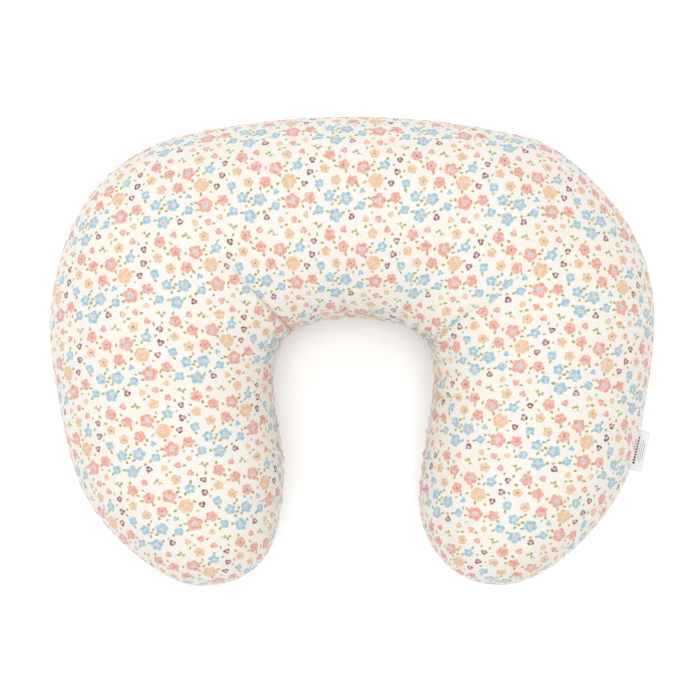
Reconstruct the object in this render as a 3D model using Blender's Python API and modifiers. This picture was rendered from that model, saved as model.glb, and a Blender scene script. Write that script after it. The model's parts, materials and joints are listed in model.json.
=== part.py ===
"""Nursing pillow: a C-shaped, fibre-filled cushion in a printed cover that zips off.

The pillow lies flat. +Z is up, +Y is the back of the C and the two arms point to -Y.
The origin is on the resting surface, below the middle of the object's outer box.
Every soft layer is the same skin moved inwards: the cover outside, then the casing, then
the filling. The skin is a loft over ribs, one rib for each straight line across the C.
"""
import math

import bmesh
import bpy
import numpy as np
from mathutils import Matrix, Vector

MM = 0.001

# Outline of the C, as ribs (outer end, inner end) in millimetres from tip to back.
LEFT_TIP = (-137, -219)
LEFT_RIBS = (
    ((-188, -199), (-84, -197)),
    ((-231, -159), (-67, -150)),
    ((-257, -112), (-64, -108)),
    ((-273, -41), (-72, -58)),
    ((-280, 18), (-74, -30)),
    ((-268, 93), (-71, -7)),
    ((-231, 157), (-62, 11)),
)
RIGHT_TIP = (135, -218)
RIGHT_RIBS = (
    ((185, -200), (87, -199)),
    ((229, -159), (64, -153)),
    ((257, -112), (66, -108)),
    ((273, -41), (74, -56)),
    ((280, 18), (77, -28)),
    ((268, 93), (73, 0)),
    ((222, 158), (63, 13)),
)
# The outline's back is one true arc, which the zip follows.
BACK_RADIUS = 700 * MM
BACK_TOP = 216 * MM
BACK_HALF_ANGLE = math.radians(14)
BACK_INNER_ENDS = ((-50, 19), (-31, 26), (-2, 30), (31, 27), (50, 21))
TIP_STEPS = 3
ARM_STEPS = 2
BACK_STEPS = 4

# Cross-section
THICKNESS = 150 * MM
WIDEST_HEIGHT = 73 * MM
BOTTOM_SAG = 5 * MM
BOTTOM_EXPONENT = 2.5
SEAM_DROP = 13 * MM
CREST_FROM_BACK = 93 * MM
FULL_WIDTH = 190 * MM
END_EXPONENT = 1.7
SEAM_BAND = 14 * MM
BAND_SHARE = 0.12
CREST_ROWS = 7
SAMPLES = 120

# Layers, each measured inwards from the cover's outer face
COVER_CLOTH = 0.8 * MM
CASING_DEPTH = 3.1 * MM
CASING_CLOTH = 0.6 * MM
FILL_DEPTH = 4.0 * MM
SEAM_HALF_GAP = 0.4 * MM

# Zip, in its own frame: x along the chain, y up the seam band, z outwards
ZIP_HALF_ANGLE = BACK_HALF_ANGLE * 7 / 8
CHAIN_HALF_ANGLE = math.radians(11.6)
ZIP_OPENING_HALF = 4.0 * MM
TAPE_EDGE = 0.6 * MM
TAPE_WIDTH = 12 * MM
TAPE_DEPTH = 1.1 * MM
TAPE_CLOTH = 0.6 * MM
COIL_RADIUS = 0.8 * MM
COIL_OFFSET = 1.4 * MM
COIL_HEIGHT = 0.1 * MM
COIL_POINTS = 29
STOP_GAP = 0.3 * MM
TOP_STOP_SIZE = (2.0 * MM, 1.8 * MM, 1.7 * MM)
BOTTOM_STOP_SIZE = (2.4 * MM, 5.0 * MM, 1.9 * MM)
STOP_HEIGHT = 0.2 * MM

SLIDER_LENGTH = 8.8 * MM
SLIDER_WIDTH = 7.0 * MM
SLIDER_END_GAP = 0.6 * MM
PLATE = 0.9 * MM
TOP_PLATE_BASE = 1.25 * MM
BOTTOM_PLATE_TOP = -2.05 * MM
WEDGE_LENGTH = 2.2 * MM
WEDGE_WIDTH = 0.6 * MM
FLANGE_THICKNESS = 0.6 * MM
FLANGE_BOTTOM = -0.6 * MM
BRIDGE_WIDTH = 1.4 * MM
BRIDGE_OPENING = 2.8 * MM
BRIDGE_POST = 0.8 * MM
BRIDGE_CLEAR = 2.0 * MM
BRIDGE_BEAM = 0.8 * MM

PULL_LENGTH = 20 * MM
PULL_WIDTH = 5.0 * MM
PULL_THICKNESS = 1.0 * MM
PULL_BAR = 1.0 * MM
PULL_EYE_LENGTH = 4.6 * MM
PULL_EYE_WIDTH = 2.3 * MM
PULL_HOLE_RADIUS = 1.1 * MM
HINGE_HEIGHT = TOP_PLATE_BASE + PLATE + BRIDGE_CLEAR / 2

# Ribbon labels
LABEL_LENGTH = 38 * MM
LABEL_REACH = 14 * MM
LABEL_THICKNESS = 0.9 * MM
LABEL_GAP = 1.6 * MM
LABEL_CENTRE_Y = -93 * MM
CASING_LABEL_DEPTH = 2.1 * MM
CASING_LABEL_CLOTH = 0.5 * MM
CASING_LABEL_RIB = 9
CASING_LABEL_SPAN = (0.12, 0.88)

COLOURS = {
    "cover": (0.93, 0.86, 0.78, 1.0),
    "casing": (0.90, 0.89, 0.86, 1.0),
    "filling": (0.95, 0.95, 0.93, 1.0),
    "tape": (0.92, 0.90, 0.85, 1.0),
    "coil": (0.90, 0.88, 0.82, 1.0),
    "zip_metal": (0.88, 0.88, 0.86, 1.0),
    "ribbon": (0.95, 0.95, 0.94, 1.0),
}


# ---------------------------------------------------------------- scene helpers

def start_empty():
    for item in list(bpy.data.objects):
        bpy.data.objects.remove(item, do_unlink=True)


def new_collection(name):
    collection = bpy.data.collections.new(name)
    bpy.context.scene.collection.children.link(collection)
    return collection


def material_for(name, colour, roughness, metallic=0.0):
    material = bpy.data.materials.new(name + "_material")
    material.use_nodes = True
    shader = material.node_tree.nodes["Principled BSDF"]
    shader.inputs["Base Color"].default_value = COLOURS[colour]
    shader.inputs["Roughness"].default_value = roughness
    shader.inputs["Metallic"].default_value = metallic
    return material


def add_object(name, data, collection, material=None):
    item = bpy.data.objects.new(name, data)
    collection.objects.link(item)
    if material:
        data.materials.append(material)
    return item


def mesh_from(name, points, faces):
    mesh = bpy.data.meshes.new(name)
    mesh.from_pydata([tuple(p) for p in points], [], faces)
    mesh.validate()
    mesh.shade_smooth()
    return mesh


def add_solidify(item, thickness):
    shell = item.modifiers.new("Cloth thickness", "SOLIDIFY")
    shell.thickness = thickness
    shell.offset = -1.0


def box_mesh(name, size, centre=(0, 0, 0), bevel=0.0):
    """A box of the given size about a centre, with its edges bevelled if asked."""
    form = bmesh.new()
    bmesh.ops.create_cube(form, size=1.0)
    bmesh.ops.scale(form, vec=Vector(size), verts=form.verts)
    if bevel:
        bmesh.ops.bevel(form, geom=form.edges[:], offset=bevel, segments=1, affect="EDGES")
    bmesh.ops.translate(form, vec=Vector(centre), verts=form.verts)
    mesh = bpy.data.meshes.new(name)
    form.to_mesh(mesh)
    form.free()
    return mesh


# ---------------------------------------------------------------- outline

class ClosedSpline:
    """A smooth closed curve through its points, spaced by the root of each chord."""

    def __init__(self, points):
        self.points = np.array(points)
        steps = np.linalg.norm(np.roll(self.points, -1, axis=0) - self.points, axis=1) ** 0.5
        self.steps = steps
        self.knots = np.concatenate([[0.0], np.cumsum(steps)])
        count = len(self.points)
        matrix = np.zeros((count, count))
        right = np.zeros((count, 2))
        for i in range(count):
            before, after = steps[i - 1], steps[i]
            nxt = (i + 1) % count
            matrix[i, i - 1] = after
            matrix[i, i] = 2 * (before + after)
            matrix[i, nxt] = before
            rise_before = (self.points[i] - self.points[i - 1]) / before
            rise_after = (self.points[nxt] - self.points[i]) / after
            right[i] = 3 * (after * rise_before + before * rise_after)
        self.slopes = np.linalg.solve(matrix, right)

    def between(self, index, share):
        """The point a share of the way from one given point to the next."""
        nxt = (index + 1) % len(self.points)
        step = self.steps[index]
        a, b = self.points[index], self.points[nxt]
        slope_a, slope_b = self.slopes[index] * step, self.slopes[nxt] * step
        s = share
        return (
            (2 * s**3 - 3 * s**2 + 1) * a
            + (s**3 - 2 * s**2 + s) * slope_a
            + (3 * s**2 - 2 * s**3) * b
            + (s**3 - s**2) * slope_b
        )


def back_arc(angle):
    """A point on the back's arc, its angle measured from +Y towards +X."""
    centre_y = BACK_TOP - BACK_RADIUS
    return np.array([BACK_RADIUS * math.sin(angle), centre_y + BACK_RADIUS * math.cos(angle)])


def stations():
    """Outer end, inner end and back angle (None on the arms) of each rib, left to right."""
    back_angles = np.linspace(-BACK_HALF_ANGLE, BACK_HALF_ANGLE, len(BACK_INNER_ENDS))
    outer = [np.array(LEFT_TIP) * MM]
    outer += [np.array(rib[0]) * MM for rib in LEFT_RIBS]
    outer += [back_arc(angle) for angle in back_angles]
    outer += [np.array(rib[0]) * MM for rib in reversed(RIGHT_RIBS)]
    outer += [np.array(RIGHT_TIP) * MM]
    inner = [np.array(rib[1]) * MM for rib in LEFT_RIBS]
    inner += [np.array(end) * MM for end in BACK_INNER_ENDS]
    inner += [np.array(rib[1]) * MM for rib in reversed(RIGHT_RIBS)]
    spline = ClosedSpline(outer + inner[::-1])
    total = len(spline.points)
    first_back = 1 + len(LEFT_RIBS)
    last_back = first_back + len(BACK_INNER_ENDS) - 1

    ribs = []
    for span in range(len(outer) - 1):
        on_back = first_back <= span < last_back
        at_tip = span in (0, len(outer) - 2)
        steps = BACK_STEPS if on_back else TIP_STEPS if at_tip else ARM_STEPS
        for step in range(steps):
            share = step / steps
            if span == 0 and step == 0:
                continue
            inner_end = spline.between((total - span - 1) % total, 1 - share)
            angle = None
            if on_back:
                low, high = back_angles[span - first_back], back_angles[span - first_back + 1]
                angle = low + (high - low) * share
            elif span == last_back and step == 0:
                angle = BACK_HALF_ANGLE
            outer_end = spline.between(span, share) if angle is None else back_arc(angle)
            ribs.append((outer_end, inner_end, angle))
    return outer[0], ribs, outer[-1]


# ---------------------------------------------------------------- skin

def half_section(outer_reach, inner_reach, height, exponent):
    """A half oval from its outer to its inner side, as (reach, rise) points."""
    points = []
    for step in range(SAMPLES + 1):
        turn = math.pi * step / SAMPLES
        across = math.copysign(abs(math.cos(turn)) ** (2 / exponent), math.cos(turn))
        reach = (outer_reach if across > 0 else inner_reach) * across
        points.append((reach, height * abs(math.sin(turn)) ** (2 / exponent)))
    return np.array(points)


def walk(line, distances):
    """Points at the given distances along a line."""
    steps = np.linalg.norm(np.diff(line, axis=0), axis=1)
    along = np.concatenate([[0.0], np.cumsum(steps)])
    return np.array([[np.interp(d, along, line[:, k]) for k in range(line.shape[1])]
                     for d in distances])


def spaced_rows(line):
    """A band at each end of the line and equal steps between them."""
    length = np.linalg.norm(np.diff(line, axis=0), axis=1).sum()
    band = min(SEAM_BAND, BAND_SHARE * length)
    return walk(line, np.linspace(band, length - band, CREST_ROWS))


def rib_ring(outer_end, inner_end, back_angle):
    """One closed ring of skin points: outer seam, top rows, inner seam, bottom rows."""
    across = outer_end - inner_end
    length = np.linalg.norm(across)
    across = across / length
    fullness = 1 - max(0.0, 1 - length / FULL_WIDTH) ** END_EXPONENT
    outer_reach = 0.5 * length
    if back_angle is not None:
        radial = np.array([math.sin(back_angle), math.cos(back_angle)])
        outer_reach = CREST_FROM_BACK / float(across @ radial)
    inner_reach = length - outer_reach
    crest = outer_end - across * outer_reach

    top = half_section(outer_reach, inner_reach, fullness * (THICKNESS - WIDEST_HEIGHT), 2.0)
    depth = fullness * (WIDEST_HEIGHT + BOTTOM_SAG)
    bottom = half_section(outer_reach, inner_reach, depth, BOTTOM_EXPONENT)
    bottom[:, 1] = -np.minimum(bottom[:, 1], WIDEST_HEIGHT)
    seam_drop = -SEAM_DROP * fullness
    below = bottom[:, 1] <= seam_drop
    first, last = np.argmax(below), len(below) - 1 - np.argmax(below[::-1])
    start, end = seam_point(bottom, first, seam_drop), seam_point(bottom, last, seam_drop)
    top_line = np.vstack([[start], bottom[:first], top[1:-1], bottom[last + 1:], [end]])
    bottom_line = np.vstack([[start], bottom[first:last + 1], [end]])

    top_rows = spaced_rows(top_line)
    bottom_rows = spaced_rows(bottom_line)[::-1]
    outer_seam = (top_rows[0] + bottom_rows[-1]) / 2
    inner_seam = (top_rows[-1] + bottom_rows[0]) / 2
    ring = np.vstack([[outer_seam], top_rows, [inner_seam], bottom_rows])
    flat = crest + ring[:, :1] * across
    return np.column_stack([flat, WIDEST_HEIGHT + ring[:, 1]])


def seam_point(line, index, height):
    """Where the line crosses a height, next to the given point that lies below it."""
    other = index - 1 if index < len(line) / 2 else index + 1
    low, high = line[index], line[other]
    share = (height - low[1]) / (high[1] - low[1])
    return low + (high - low) * share


class Skin:
    """The pillow's closed outer surface, and the same surface moved inwards."""

    def __init__(self):
        left_tip, ribs, right_tip = stations()
        self.angles = [rib[2] for rib in ribs]
        self.rings = np.array([rib_ring(*rib) for rib in ribs])
        self.tips = np.array([[*left_tip, WIDEST_HEIGHT], [*right_tip, WIDEST_HEIGHT]])
        self.find_normals()

    def find_normals(self):
        mesh = mesh_from("skin_guide", *self.closed(self.rings, self.tips))
        count = self.rings.shape[0] * self.rings.shape[1]
        normals = np.array([vertex.normal[:] for vertex in mesh.vertices])
        self.ring_normals = normals[:count].reshape(self.rings.shape)
        self.tip_normals = normals[count:]
        bpy.data.meshes.remove(mesh)

    def inset(self, depth):
        return self.rings - depth * self.ring_normals, self.tips - depth * self.tip_normals

    def closed(self, rings, tips):
        """Points and faces of the whole closed surface."""
        count, around = rings.shape[:2]
        points = list(rings.reshape(-1, 3)) + list(tips)
        faces = []
        for i in range(count - 1):
            for j in range(around):
                k = (j + 1) % around
                faces.append((i * around + j, i * around + k,
                              (i + 1) * around + k, (i + 1) * around + j))
        left, right = count * around, count * around + 1
        for j in range(around):
            k = (j + 1) % around
            faces.append((left, k, j))
            faces.append((right, (count - 1) * around + j, (count - 1) * around + k))
        return points, faces

    def panel(self, depth, side, half_gap):
        """Points and faces of the top (side 1) or bottom (side -1) half, open at the seam."""
        rings, tips = self.inset(depth)
        inner = CREST_ROWS + 1
        rows = []
        for i, ring in enumerate(rings):
            gap = half_gap(self.angles[i])
            if side > 0:
                outer_edge = towards(ring[0], ring[1], gap)
                inner_edge = towards(ring[inner], ring[inner - 1], SEAM_HALF_GAP)
                rows.append(np.vstack([[outer_edge], ring[1:inner], [inner_edge]]))
            else:
                outer_edge = towards(ring[0], ring[-1], gap)
                inner_edge = towards(ring[inner], ring[inner + 1], SEAM_HALF_GAP)
                rows.append(np.vstack([[inner_edge], ring[inner + 1:], [outer_edge]]))
        around = len(rows[0])
        lift = np.array([0, 0, side * SEAM_HALF_GAP])
        points = list(np.vstack(rows)) + [tips[0] + lift, tips[1] + lift]
        left, right = len(points) - 2, len(points) - 1
        faces = []
        for j in range(around - 1):
            for i in range(len(rows) - 1):
                faces.append((i * around + j, i * around + j + 1,
                              (i + 1) * around + j + 1, (i + 1) * around + j))
            faces.append((left, j + 1, j))
            last = (len(rows) - 1) * around
            faces.append((right, last + j, last + j + 1))
        return points, faces

    def band_strip(self, depth, side, low, high):
        """A strip along the zip's stretch of seam, between two distances from its centre."""
        rings, _ = self.inset(depth)
        zip_rings = [ring for ring, angle in zip(rings, self.angles)
                     if angle is not None and abs(angle) <= ZIP_HALF_ANGLE + 1e-6]
        points = []
        for ring in zip_rings:
            band = ring[1] if side > 0 else ring[-1]
            pair = [towards(ring[0], band, low), towards(ring[0], band, high)]
            points += pair if side > 0 else pair[::-1]
        faces = [(2 * i, 2 * i + 1, 2 * i + 3, 2 * i + 2) for i in range(len(zip_rings) - 1)]
        return points, faces

    def zip_frame(self, angle, x=0.0, y=0.0, z=0.0):
        """A frame on the zip's centre line: x to the left, y up the band, z outwards."""
        middle = self.rings[self.angles.index(0.0)]
        up = Vector(middle[1] - middle[-1])
        up.x = 0.0
        up.normalize()
        centre = Vector((0.0, BACK_TOP - BACK_RADIUS, 0.0))
        seat = Vector((0.0, middle[0][1], middle[0][2])) - centre
        along = Vector((-1, 0, 0))
        out = along.cross(up)
        basis = Matrix((along, up, out)).transposed().to_4x4()
        turn = Matrix.Rotation(-angle, 4, "Z")
        place = Matrix.Translation(centre) @ turn @ Matrix.Translation(seat) @ basis
        return place @ Matrix.Translation((x, y, z))


def towards(start, end, distance):
    """The point a distance from start on the way to end."""
    step = end - start
    return start + step * (distance / np.linalg.norm(step))


def closed_seam(_angle):
    return SEAM_HALF_GAP


def cover_seam(angle):
    """The cover's edges part along the zip, and meet elsewhere."""
    if angle is not None and abs(angle) <= ZIP_HALF_ANGLE + 1e-6:
        return ZIP_OPENING_HALF
    return SEAM_HALF_GAP


# ---------------------------------------------------------------- soft layers

def add_panels(skin, parts):
    layers = (
        ("cover_top_panel", 0.0, 1, cover_seam, COVER_CLOTH, "cover", 0.85),
        ("cover_bottom_panel", 0.0, -1, cover_seam, COVER_CLOTH, "cover", 0.85),
        ("casing_top_panel", CASING_DEPTH, 1, closed_seam, CASING_CLOTH, "casing", 0.9),
        ("casing_bottom_panel", CASING_DEPTH, -1, closed_seam, CASING_CLOTH, "casing", 0.9),
    )
    for name, depth, side, gap, cloth, colour, roughness in layers:
        mesh = mesh_from(name, *skin.panel(depth, side, gap))
        item = add_object(name, mesh, parts, material_for(name, colour, roughness))
        add_solidify(item, cloth)


def add_filling(skin, parts):
    mesh = mesh_from("fibre_fill", *skin.closed(*skin.inset(FILL_DEPTH)))
    add_object("fibre_fill", mesh, parts, material_for("fibre_fill", "filling", 0.95))


# ---------------------------------------------------------------- zip

def add_tapes(skin, parts):
    for name, side in (("zipper_tape_upper", 1), ("zipper_tape_lower", -1)):
        strip = skin.band_strip(TAPE_DEPTH, side, TAPE_EDGE, TAPE_EDGE + TAPE_WIDTH)
        item = add_object(name, mesh_from(name, *strip), parts, material_for(name, "tape", 0.8))
        add_solidify(item, TAPE_CLOTH)


def add_coils(skin, parts):
    for name, side in (("zipper_coil_upper", 1), ("zipper_coil_lower", -1)):
        curve = bpy.data.curves.new(name, "CURVE")
        curve.dimensions = "3D"
        curve.bevel_depth = COIL_RADIUS
        curve.bevel_resolution = 2
        curve.use_fill_caps = True
        line = curve.splines.new("POLY")
        line.points.add(COIL_POINTS - 1)
        for k, angle in enumerate(np.linspace(-CHAIN_HALF_ANGLE, CHAIN_HALF_ANGLE, COIL_POINTS)):
            place = skin.zip_frame(angle, y=side * COIL_OFFSET, z=COIL_HEIGHT)
            line.points[k].co = (*place.translation, 1.0)
        add_object(name, curve, parts, material_for(name, "coil", 0.35))


def add_stops(skin, parts, seat_radius):
    half_turn = STOP_GAP / seat_radius
    top_angle = -CHAIN_HALF_ANGLE - half_turn - TOP_STOP_SIZE[0] / 2 / seat_radius
    bottom_angle = CHAIN_HALF_ANGLE + half_turn + BOTTOM_STOP_SIZE[0] / 2 / seat_radius
    stops = (
        ("zipper_top_stop_upper", top_angle, COIL_OFFSET, TOP_STOP_SIZE),
        ("zipper_top_stop_lower", top_angle, -COIL_OFFSET, TOP_STOP_SIZE),
        ("zipper_bottom_stop", bottom_angle, 0.0, BOTTOM_STOP_SIZE),
    )
    for name, angle, y, size in stops:
        mesh = box_mesh(name, size, bevel=0.3 * MM)
        item = add_object(name, mesh, parts, material_for(name, "zip_metal", 0.4, 0.3))
        item.matrix_world = skin.zip_frame(angle, y=y, z=STOP_HEIGHT)


def add_slider(skin, parts, cutters, axis_empty, angle):
    """Two plates joined by the wedge, with a flange at each side and a bridge on top."""
    name = "zipper_slider"
    plate_size = (SLIDER_LENGTH, SLIDER_WIDTH, PLATE)
    top_z = TOP_PLATE_BASE + PLATE / 2
    bottom_z = BOTTOM_PLATE_TOP - PLATE / 2
    body = add_object(name, box_mesh(name, plate_size, (0, 0, top_z), 0.25 * MM), parts,
                      material_for(name, "zip_metal", 0.35, 0.3))
    wedge_x = SLIDER_LENGTH / 2 - WEDGE_LENGTH / 2 - 0.4 * MM
    flange_height = TOP_PLATE_BASE - FLANGE_BOTTOM + 0.3 * MM
    flange_y = SLIDER_WIDTH / 2 - FLANGE_THICKNESS / 2 - 0.1 * MM
    flange_z = FLANGE_BOTTOM + flange_height / 2
    post_x = BRIDGE_OPENING / 2 + BRIDGE_POST / 2
    post_height = BRIDGE_CLEAR + BRIDGE_BEAM + 0.2 * MM
    plate_top = TOP_PLATE_BASE + PLATE
    pieces = {
        "bottom_plate": (plate_size, (0, 0, bottom_z)),
        "wedge": ((WEDGE_LENGTH, WEDGE_WIDTH, top_z - bottom_z),
                  (wedge_x, 0, (top_z + bottom_z) / 2)),
        "flange_upper": ((SLIDER_LENGTH * 0.9, FLANGE_THICKNESS, flange_height),
                         (0, flange_y, flange_z)),
        "flange_lower": ((SLIDER_LENGTH * 0.9, FLANGE_THICKNESS, flange_height),
                         (0, -flange_y, flange_z)),
        "bridge_front": ((BRIDGE_POST, BRIDGE_WIDTH, post_height),
                         (post_x, 0, plate_top - 0.2 * MM + post_height / 2)),
        "bridge_rear": ((BRIDGE_POST, BRIDGE_WIDTH, post_height),
                        (-post_x, 0, plate_top - 0.2 * MM + post_height / 2)),
        "bridge_beam": ((BRIDGE_OPENING + BRIDGE_POST, BRIDGE_WIDTH * 0.96, BRIDGE_BEAM * 0.96),
                        (0, 0, plate_top + BRIDGE_CLEAR + BRIDGE_BEAM / 2)),
    }
    place = skin.zip_frame(angle)
    body.parent = axis_empty
    body.matrix_world = place
    for piece, (size, centre) in pieces.items():
        cutter = add_object("slider_" + piece, box_mesh(piece, size, centre), cutters)
        cutter.matrix_world = place
        cutter.hide_render = True
        cutter.display_type = "WIRE"
        join = body.modifiers.new("Join " + piece, "BOOLEAN")
        join.operation = "UNION"
        join.object = cutter
    return place


def add_outline(curve, points):
    line = curve.splines.new("POLY")
    line.points.add(len(points) - 1)
    line.use_cyclic_u = True
    for spot, (x, y) in zip(line.points, points):
        spot.co = (x, y, 0.0, 1.0)


def rounded_box(x_low, x_high, half_width, radius, steps=3):
    """Corner arcs of a rounded rectangle, counter-clockwise."""
    corners = ((x_high, 1, -1, -90), (x_high, 1, 1, 0), (x_low, -1, 1, 90), (x_low, -1, -1, 180))
    points = []
    for x, side_x, side_y, first in corners:
        centre = (x - side_x * radius, side_y * (half_width - radius))
        for step in range(steps + 1):
            turn = math.radians(first + 90 * step / steps)
            points.append((centre[0] + radius * math.cos(turn),
                           centre[1] + radius * math.sin(turn)))
    return points


def add_pull(parts, slider_place):
    """A flat tab whose eye goes round the slider's bridge and lies back over the chain."""
    name = "zipper_pull_tab"
    hinge = bpy.data.objects.new("pull_hinge", None)
    parts.objects.link(hinge)
    hinge.matrix_world = slider_place @ Matrix.Translation((0, 0, HINGE_HEIGHT))
    curve = bpy.data.curves.new(name, "CURVE")
    curve.dimensions = "2D"
    curve.fill_mode = "BOTH"
    curve.extrude = PULL_THICKNESS / 2
    add_outline(curve, rounded_box(-PULL_LENGTH, PULL_BAR / 2, PULL_WIDTH / 2, 0.45 * MM))
    eye_far = -PULL_BAR / 2 - PULL_EYE_LENGTH
    add_outline(curve, rounded_box(eye_far, -PULL_BAR / 2, PULL_EYE_WIDTH / 2, 0.3 * MM)[::-1])
    hole_x = -PULL_LENGTH + 2.6 * MM
    hole = [(hole_x + PULL_HOLE_RADIUS * math.cos(t), PULL_HOLE_RADIUS * math.sin(t))
            for t in np.linspace(0, -2 * math.pi, 12, endpoint=False)]
    add_outline(curve, hole)
    tab = add_object(name, curve, parts, material_for(name, "zip_metal", 0.35, 0.3))
    tab.parent = hinge


# ---------------------------------------------------------------- labels

def add_side_label(skin, parts):
    """A folded ribbon standing out of the right side seam; its origin is its sewn edge."""
    right = [i for i, ring in enumerate(skin.rings) if ring[0][0] > 0]
    rank = min(right, key=lambda i: abs(skin.rings[i][0][1] - LABEL_CENTRE_Y))
    before, after = skin.rings[rank - 1][0], skin.rings[rank + 1][0]
    seams = sorted((before, skin.rings[rank][0], after), key=lambda p: p[1])
    ys = [p[1] for p in seams]
    seam = Vector([float(np.interp(LABEL_CENTRE_Y, ys, [p[k] for p in seams])) for k in range(3)])
    along = Vector(seams[2] - seams[0])
    along.z = 0.0
    along.normalize()
    out = along.cross(Vector((0, 0, 1)))
    name = "side_label"
    size = (LABEL_REACH, LABEL_LENGTH, LABEL_THICKNESS)
    mesh = box_mesh(name, size, (LABEL_REACH / 2, 0, 0), 0.2 * MM)
    label = add_object(name, mesh, parts, material_for(name, "ribbon", 0.3))
    basis = Matrix((out, along, Vector((0, 0, 1)))).transposed().to_4x4()
    label.matrix_world = Matrix.Translation(seam + out * LABEL_GAP) @ basis


def add_casing_label(skin, parts):
    """A ribbon lying on the casing's lower side, beside the seam in the left arm."""
    rings, _ = skin.inset(CASING_LABEL_DEPTH)
    near_rib, far_rib = rings[CASING_LABEL_RIB], rings[CASING_LABEL_RIB + 1]
    cell = (near_rib[-2], far_rib[-2], far_rib[-1], near_rib[-1])
    low, high = CASING_LABEL_SPAN
    points = []
    for u, v in ((low, low), (high, low), (high, high), (low, high)):
        near = cell[0] + (cell[1] - cell[0]) * u
        far = cell[3] + (cell[2] - cell[3]) * u
        points.append(near + (far - near) * v)
    name = "casing_label"
    item = add_object(name, mesh_from(name, points, [(3, 2, 1, 0)]), parts,
                      material_for(name, "ribbon", 0.4))
    add_solidify(item, CASING_LABEL_CLOTH)


# ---------------------------------------------------------------- assembly

def main():
    start_empty()
    parts = new_collection("nursing_pillow")
    cutters = new_collection("cutters")
    skin = Skin()
    add_panels(skin, parts)
    add_filling(skin, parts)
    add_tapes(skin, parts)
    add_coils(skin, parts)

    centre_y = BACK_TOP - BACK_RADIUS
    seat = skin.zip_frame(0.0).translation
    seat_radius = seat.y - centre_y
    add_stops(skin, parts, seat_radius)
    axis_empty = bpy.data.objects.new("zip_arc_axis", None)
    parts.objects.link(axis_empty)
    axis_empty.location = (0.0, centre_y, seat.z)
    bpy.context.view_layer.update()
    closed_angle = -CHAIN_HALF_ANGLE + (SLIDER_LENGTH / 2 + SLIDER_END_GAP) / seat_radius
    slider_place = add_slider(skin, parts, cutters, axis_empty, closed_angle)
    add_pull(parts, slider_place)
    add_side_label(skin, parts)
    add_casing_label(skin, parts)


main()
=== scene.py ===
"""Nursing pillow, finished looks: printed cotton cover, coil zip, ribbon label and filling.

The cover is cut flat, laid over the stuffed shape and relaxed as cloth, so its wrinkles and
the way its print bends round the C come from the cut. Inner layers follow the cover.
"""
import functools
import json
import math

import bpy
import numpy as np
from mathutils import Matrix, Vector


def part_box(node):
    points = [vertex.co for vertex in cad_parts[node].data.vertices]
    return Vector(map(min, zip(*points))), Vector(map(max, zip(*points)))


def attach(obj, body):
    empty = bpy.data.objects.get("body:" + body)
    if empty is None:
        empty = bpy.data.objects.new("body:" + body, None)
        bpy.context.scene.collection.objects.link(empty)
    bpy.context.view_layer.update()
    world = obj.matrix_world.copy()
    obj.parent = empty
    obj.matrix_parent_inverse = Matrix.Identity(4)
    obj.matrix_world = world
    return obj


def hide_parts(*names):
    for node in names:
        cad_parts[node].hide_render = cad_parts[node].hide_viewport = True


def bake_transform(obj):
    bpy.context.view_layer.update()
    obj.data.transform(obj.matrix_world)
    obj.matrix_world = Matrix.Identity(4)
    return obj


MM = 0.001

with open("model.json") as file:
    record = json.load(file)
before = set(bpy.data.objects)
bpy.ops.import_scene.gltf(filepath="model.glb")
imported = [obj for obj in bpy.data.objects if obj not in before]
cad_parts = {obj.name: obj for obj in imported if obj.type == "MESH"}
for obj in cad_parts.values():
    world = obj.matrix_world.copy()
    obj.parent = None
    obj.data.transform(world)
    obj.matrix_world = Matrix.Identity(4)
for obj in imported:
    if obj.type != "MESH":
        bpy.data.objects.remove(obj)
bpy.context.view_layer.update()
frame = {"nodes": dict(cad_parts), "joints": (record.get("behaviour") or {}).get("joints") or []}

# ------------------------------------------------------------------ dimensions

# Outline of the C, as in the CAD, in millimetres from left to right: the tips and the ribs'
# outer ends before and after the back's arc, and all ribs' inner ends
LEFT_OUTER = ((-137, -219), (-188, -199), (-231, -159), (-257, -112), (-273, -41), (-280, 18),
              (-268, 93), (-231, 157))
RIGHT_OUTER = ((222, 158), (268, 93), (280, 18), (273, -41), (257, -112), (229, -159),
               (185, -200), (135, -218))
INNER = ((-84, -197), (-67, -150), (-64, -108), (-72, -58), (-74, -30), (-71, -7), (-62, 11),
         (-50, 19), (-31, 26), (-2, 30), (31, 27), (50, 21), (63, 13), (73, 0), (77, -28),
         (74, -56), (66, -108), (64, -153), (87, -199))
BACK_RIBS = 5
BACK_RADIUS = 700 * MM
BACK_TOP = 216 * MM
BACK_HALF_ANGLE = math.radians(14)
ZIP_HALF_ANGLE = BACK_HALF_ANGLE * 7 / 8
CHAIN_HALF_ANGLE = math.radians(11.6)

THICKNESS = 150 * MM
WIDEST_HEIGHT = 73 * MM
BOTTOM_SAG = 5 * MM
BOTTOM_EXPONENT = 2.5
SEAM_DROP = 13 * MM
CREST_FROM_BACK = 93 * MM
FULL_WIDTH = 190 * MM
END_EXPONENT = 1.7
SEAM_BAND = 14 * MM
SEAM_BAND_OVER = 12 * MM
BAND_SHARE = 0.12

# Cloth grid: steps per span of ribs, and rows from seam to seam
TIP_STEPS = 12
ARM_STEPS = 10
BACK_STEPS = 14
BAND_ROWS = (4 * MM, 9 * MM)
CREST_ROWS = 42
SAMPLES = 240

# The print lies straight on the flat cut, whose arms are further open than the stuffed pillow's
PRINT_BEND = 0.84

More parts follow.
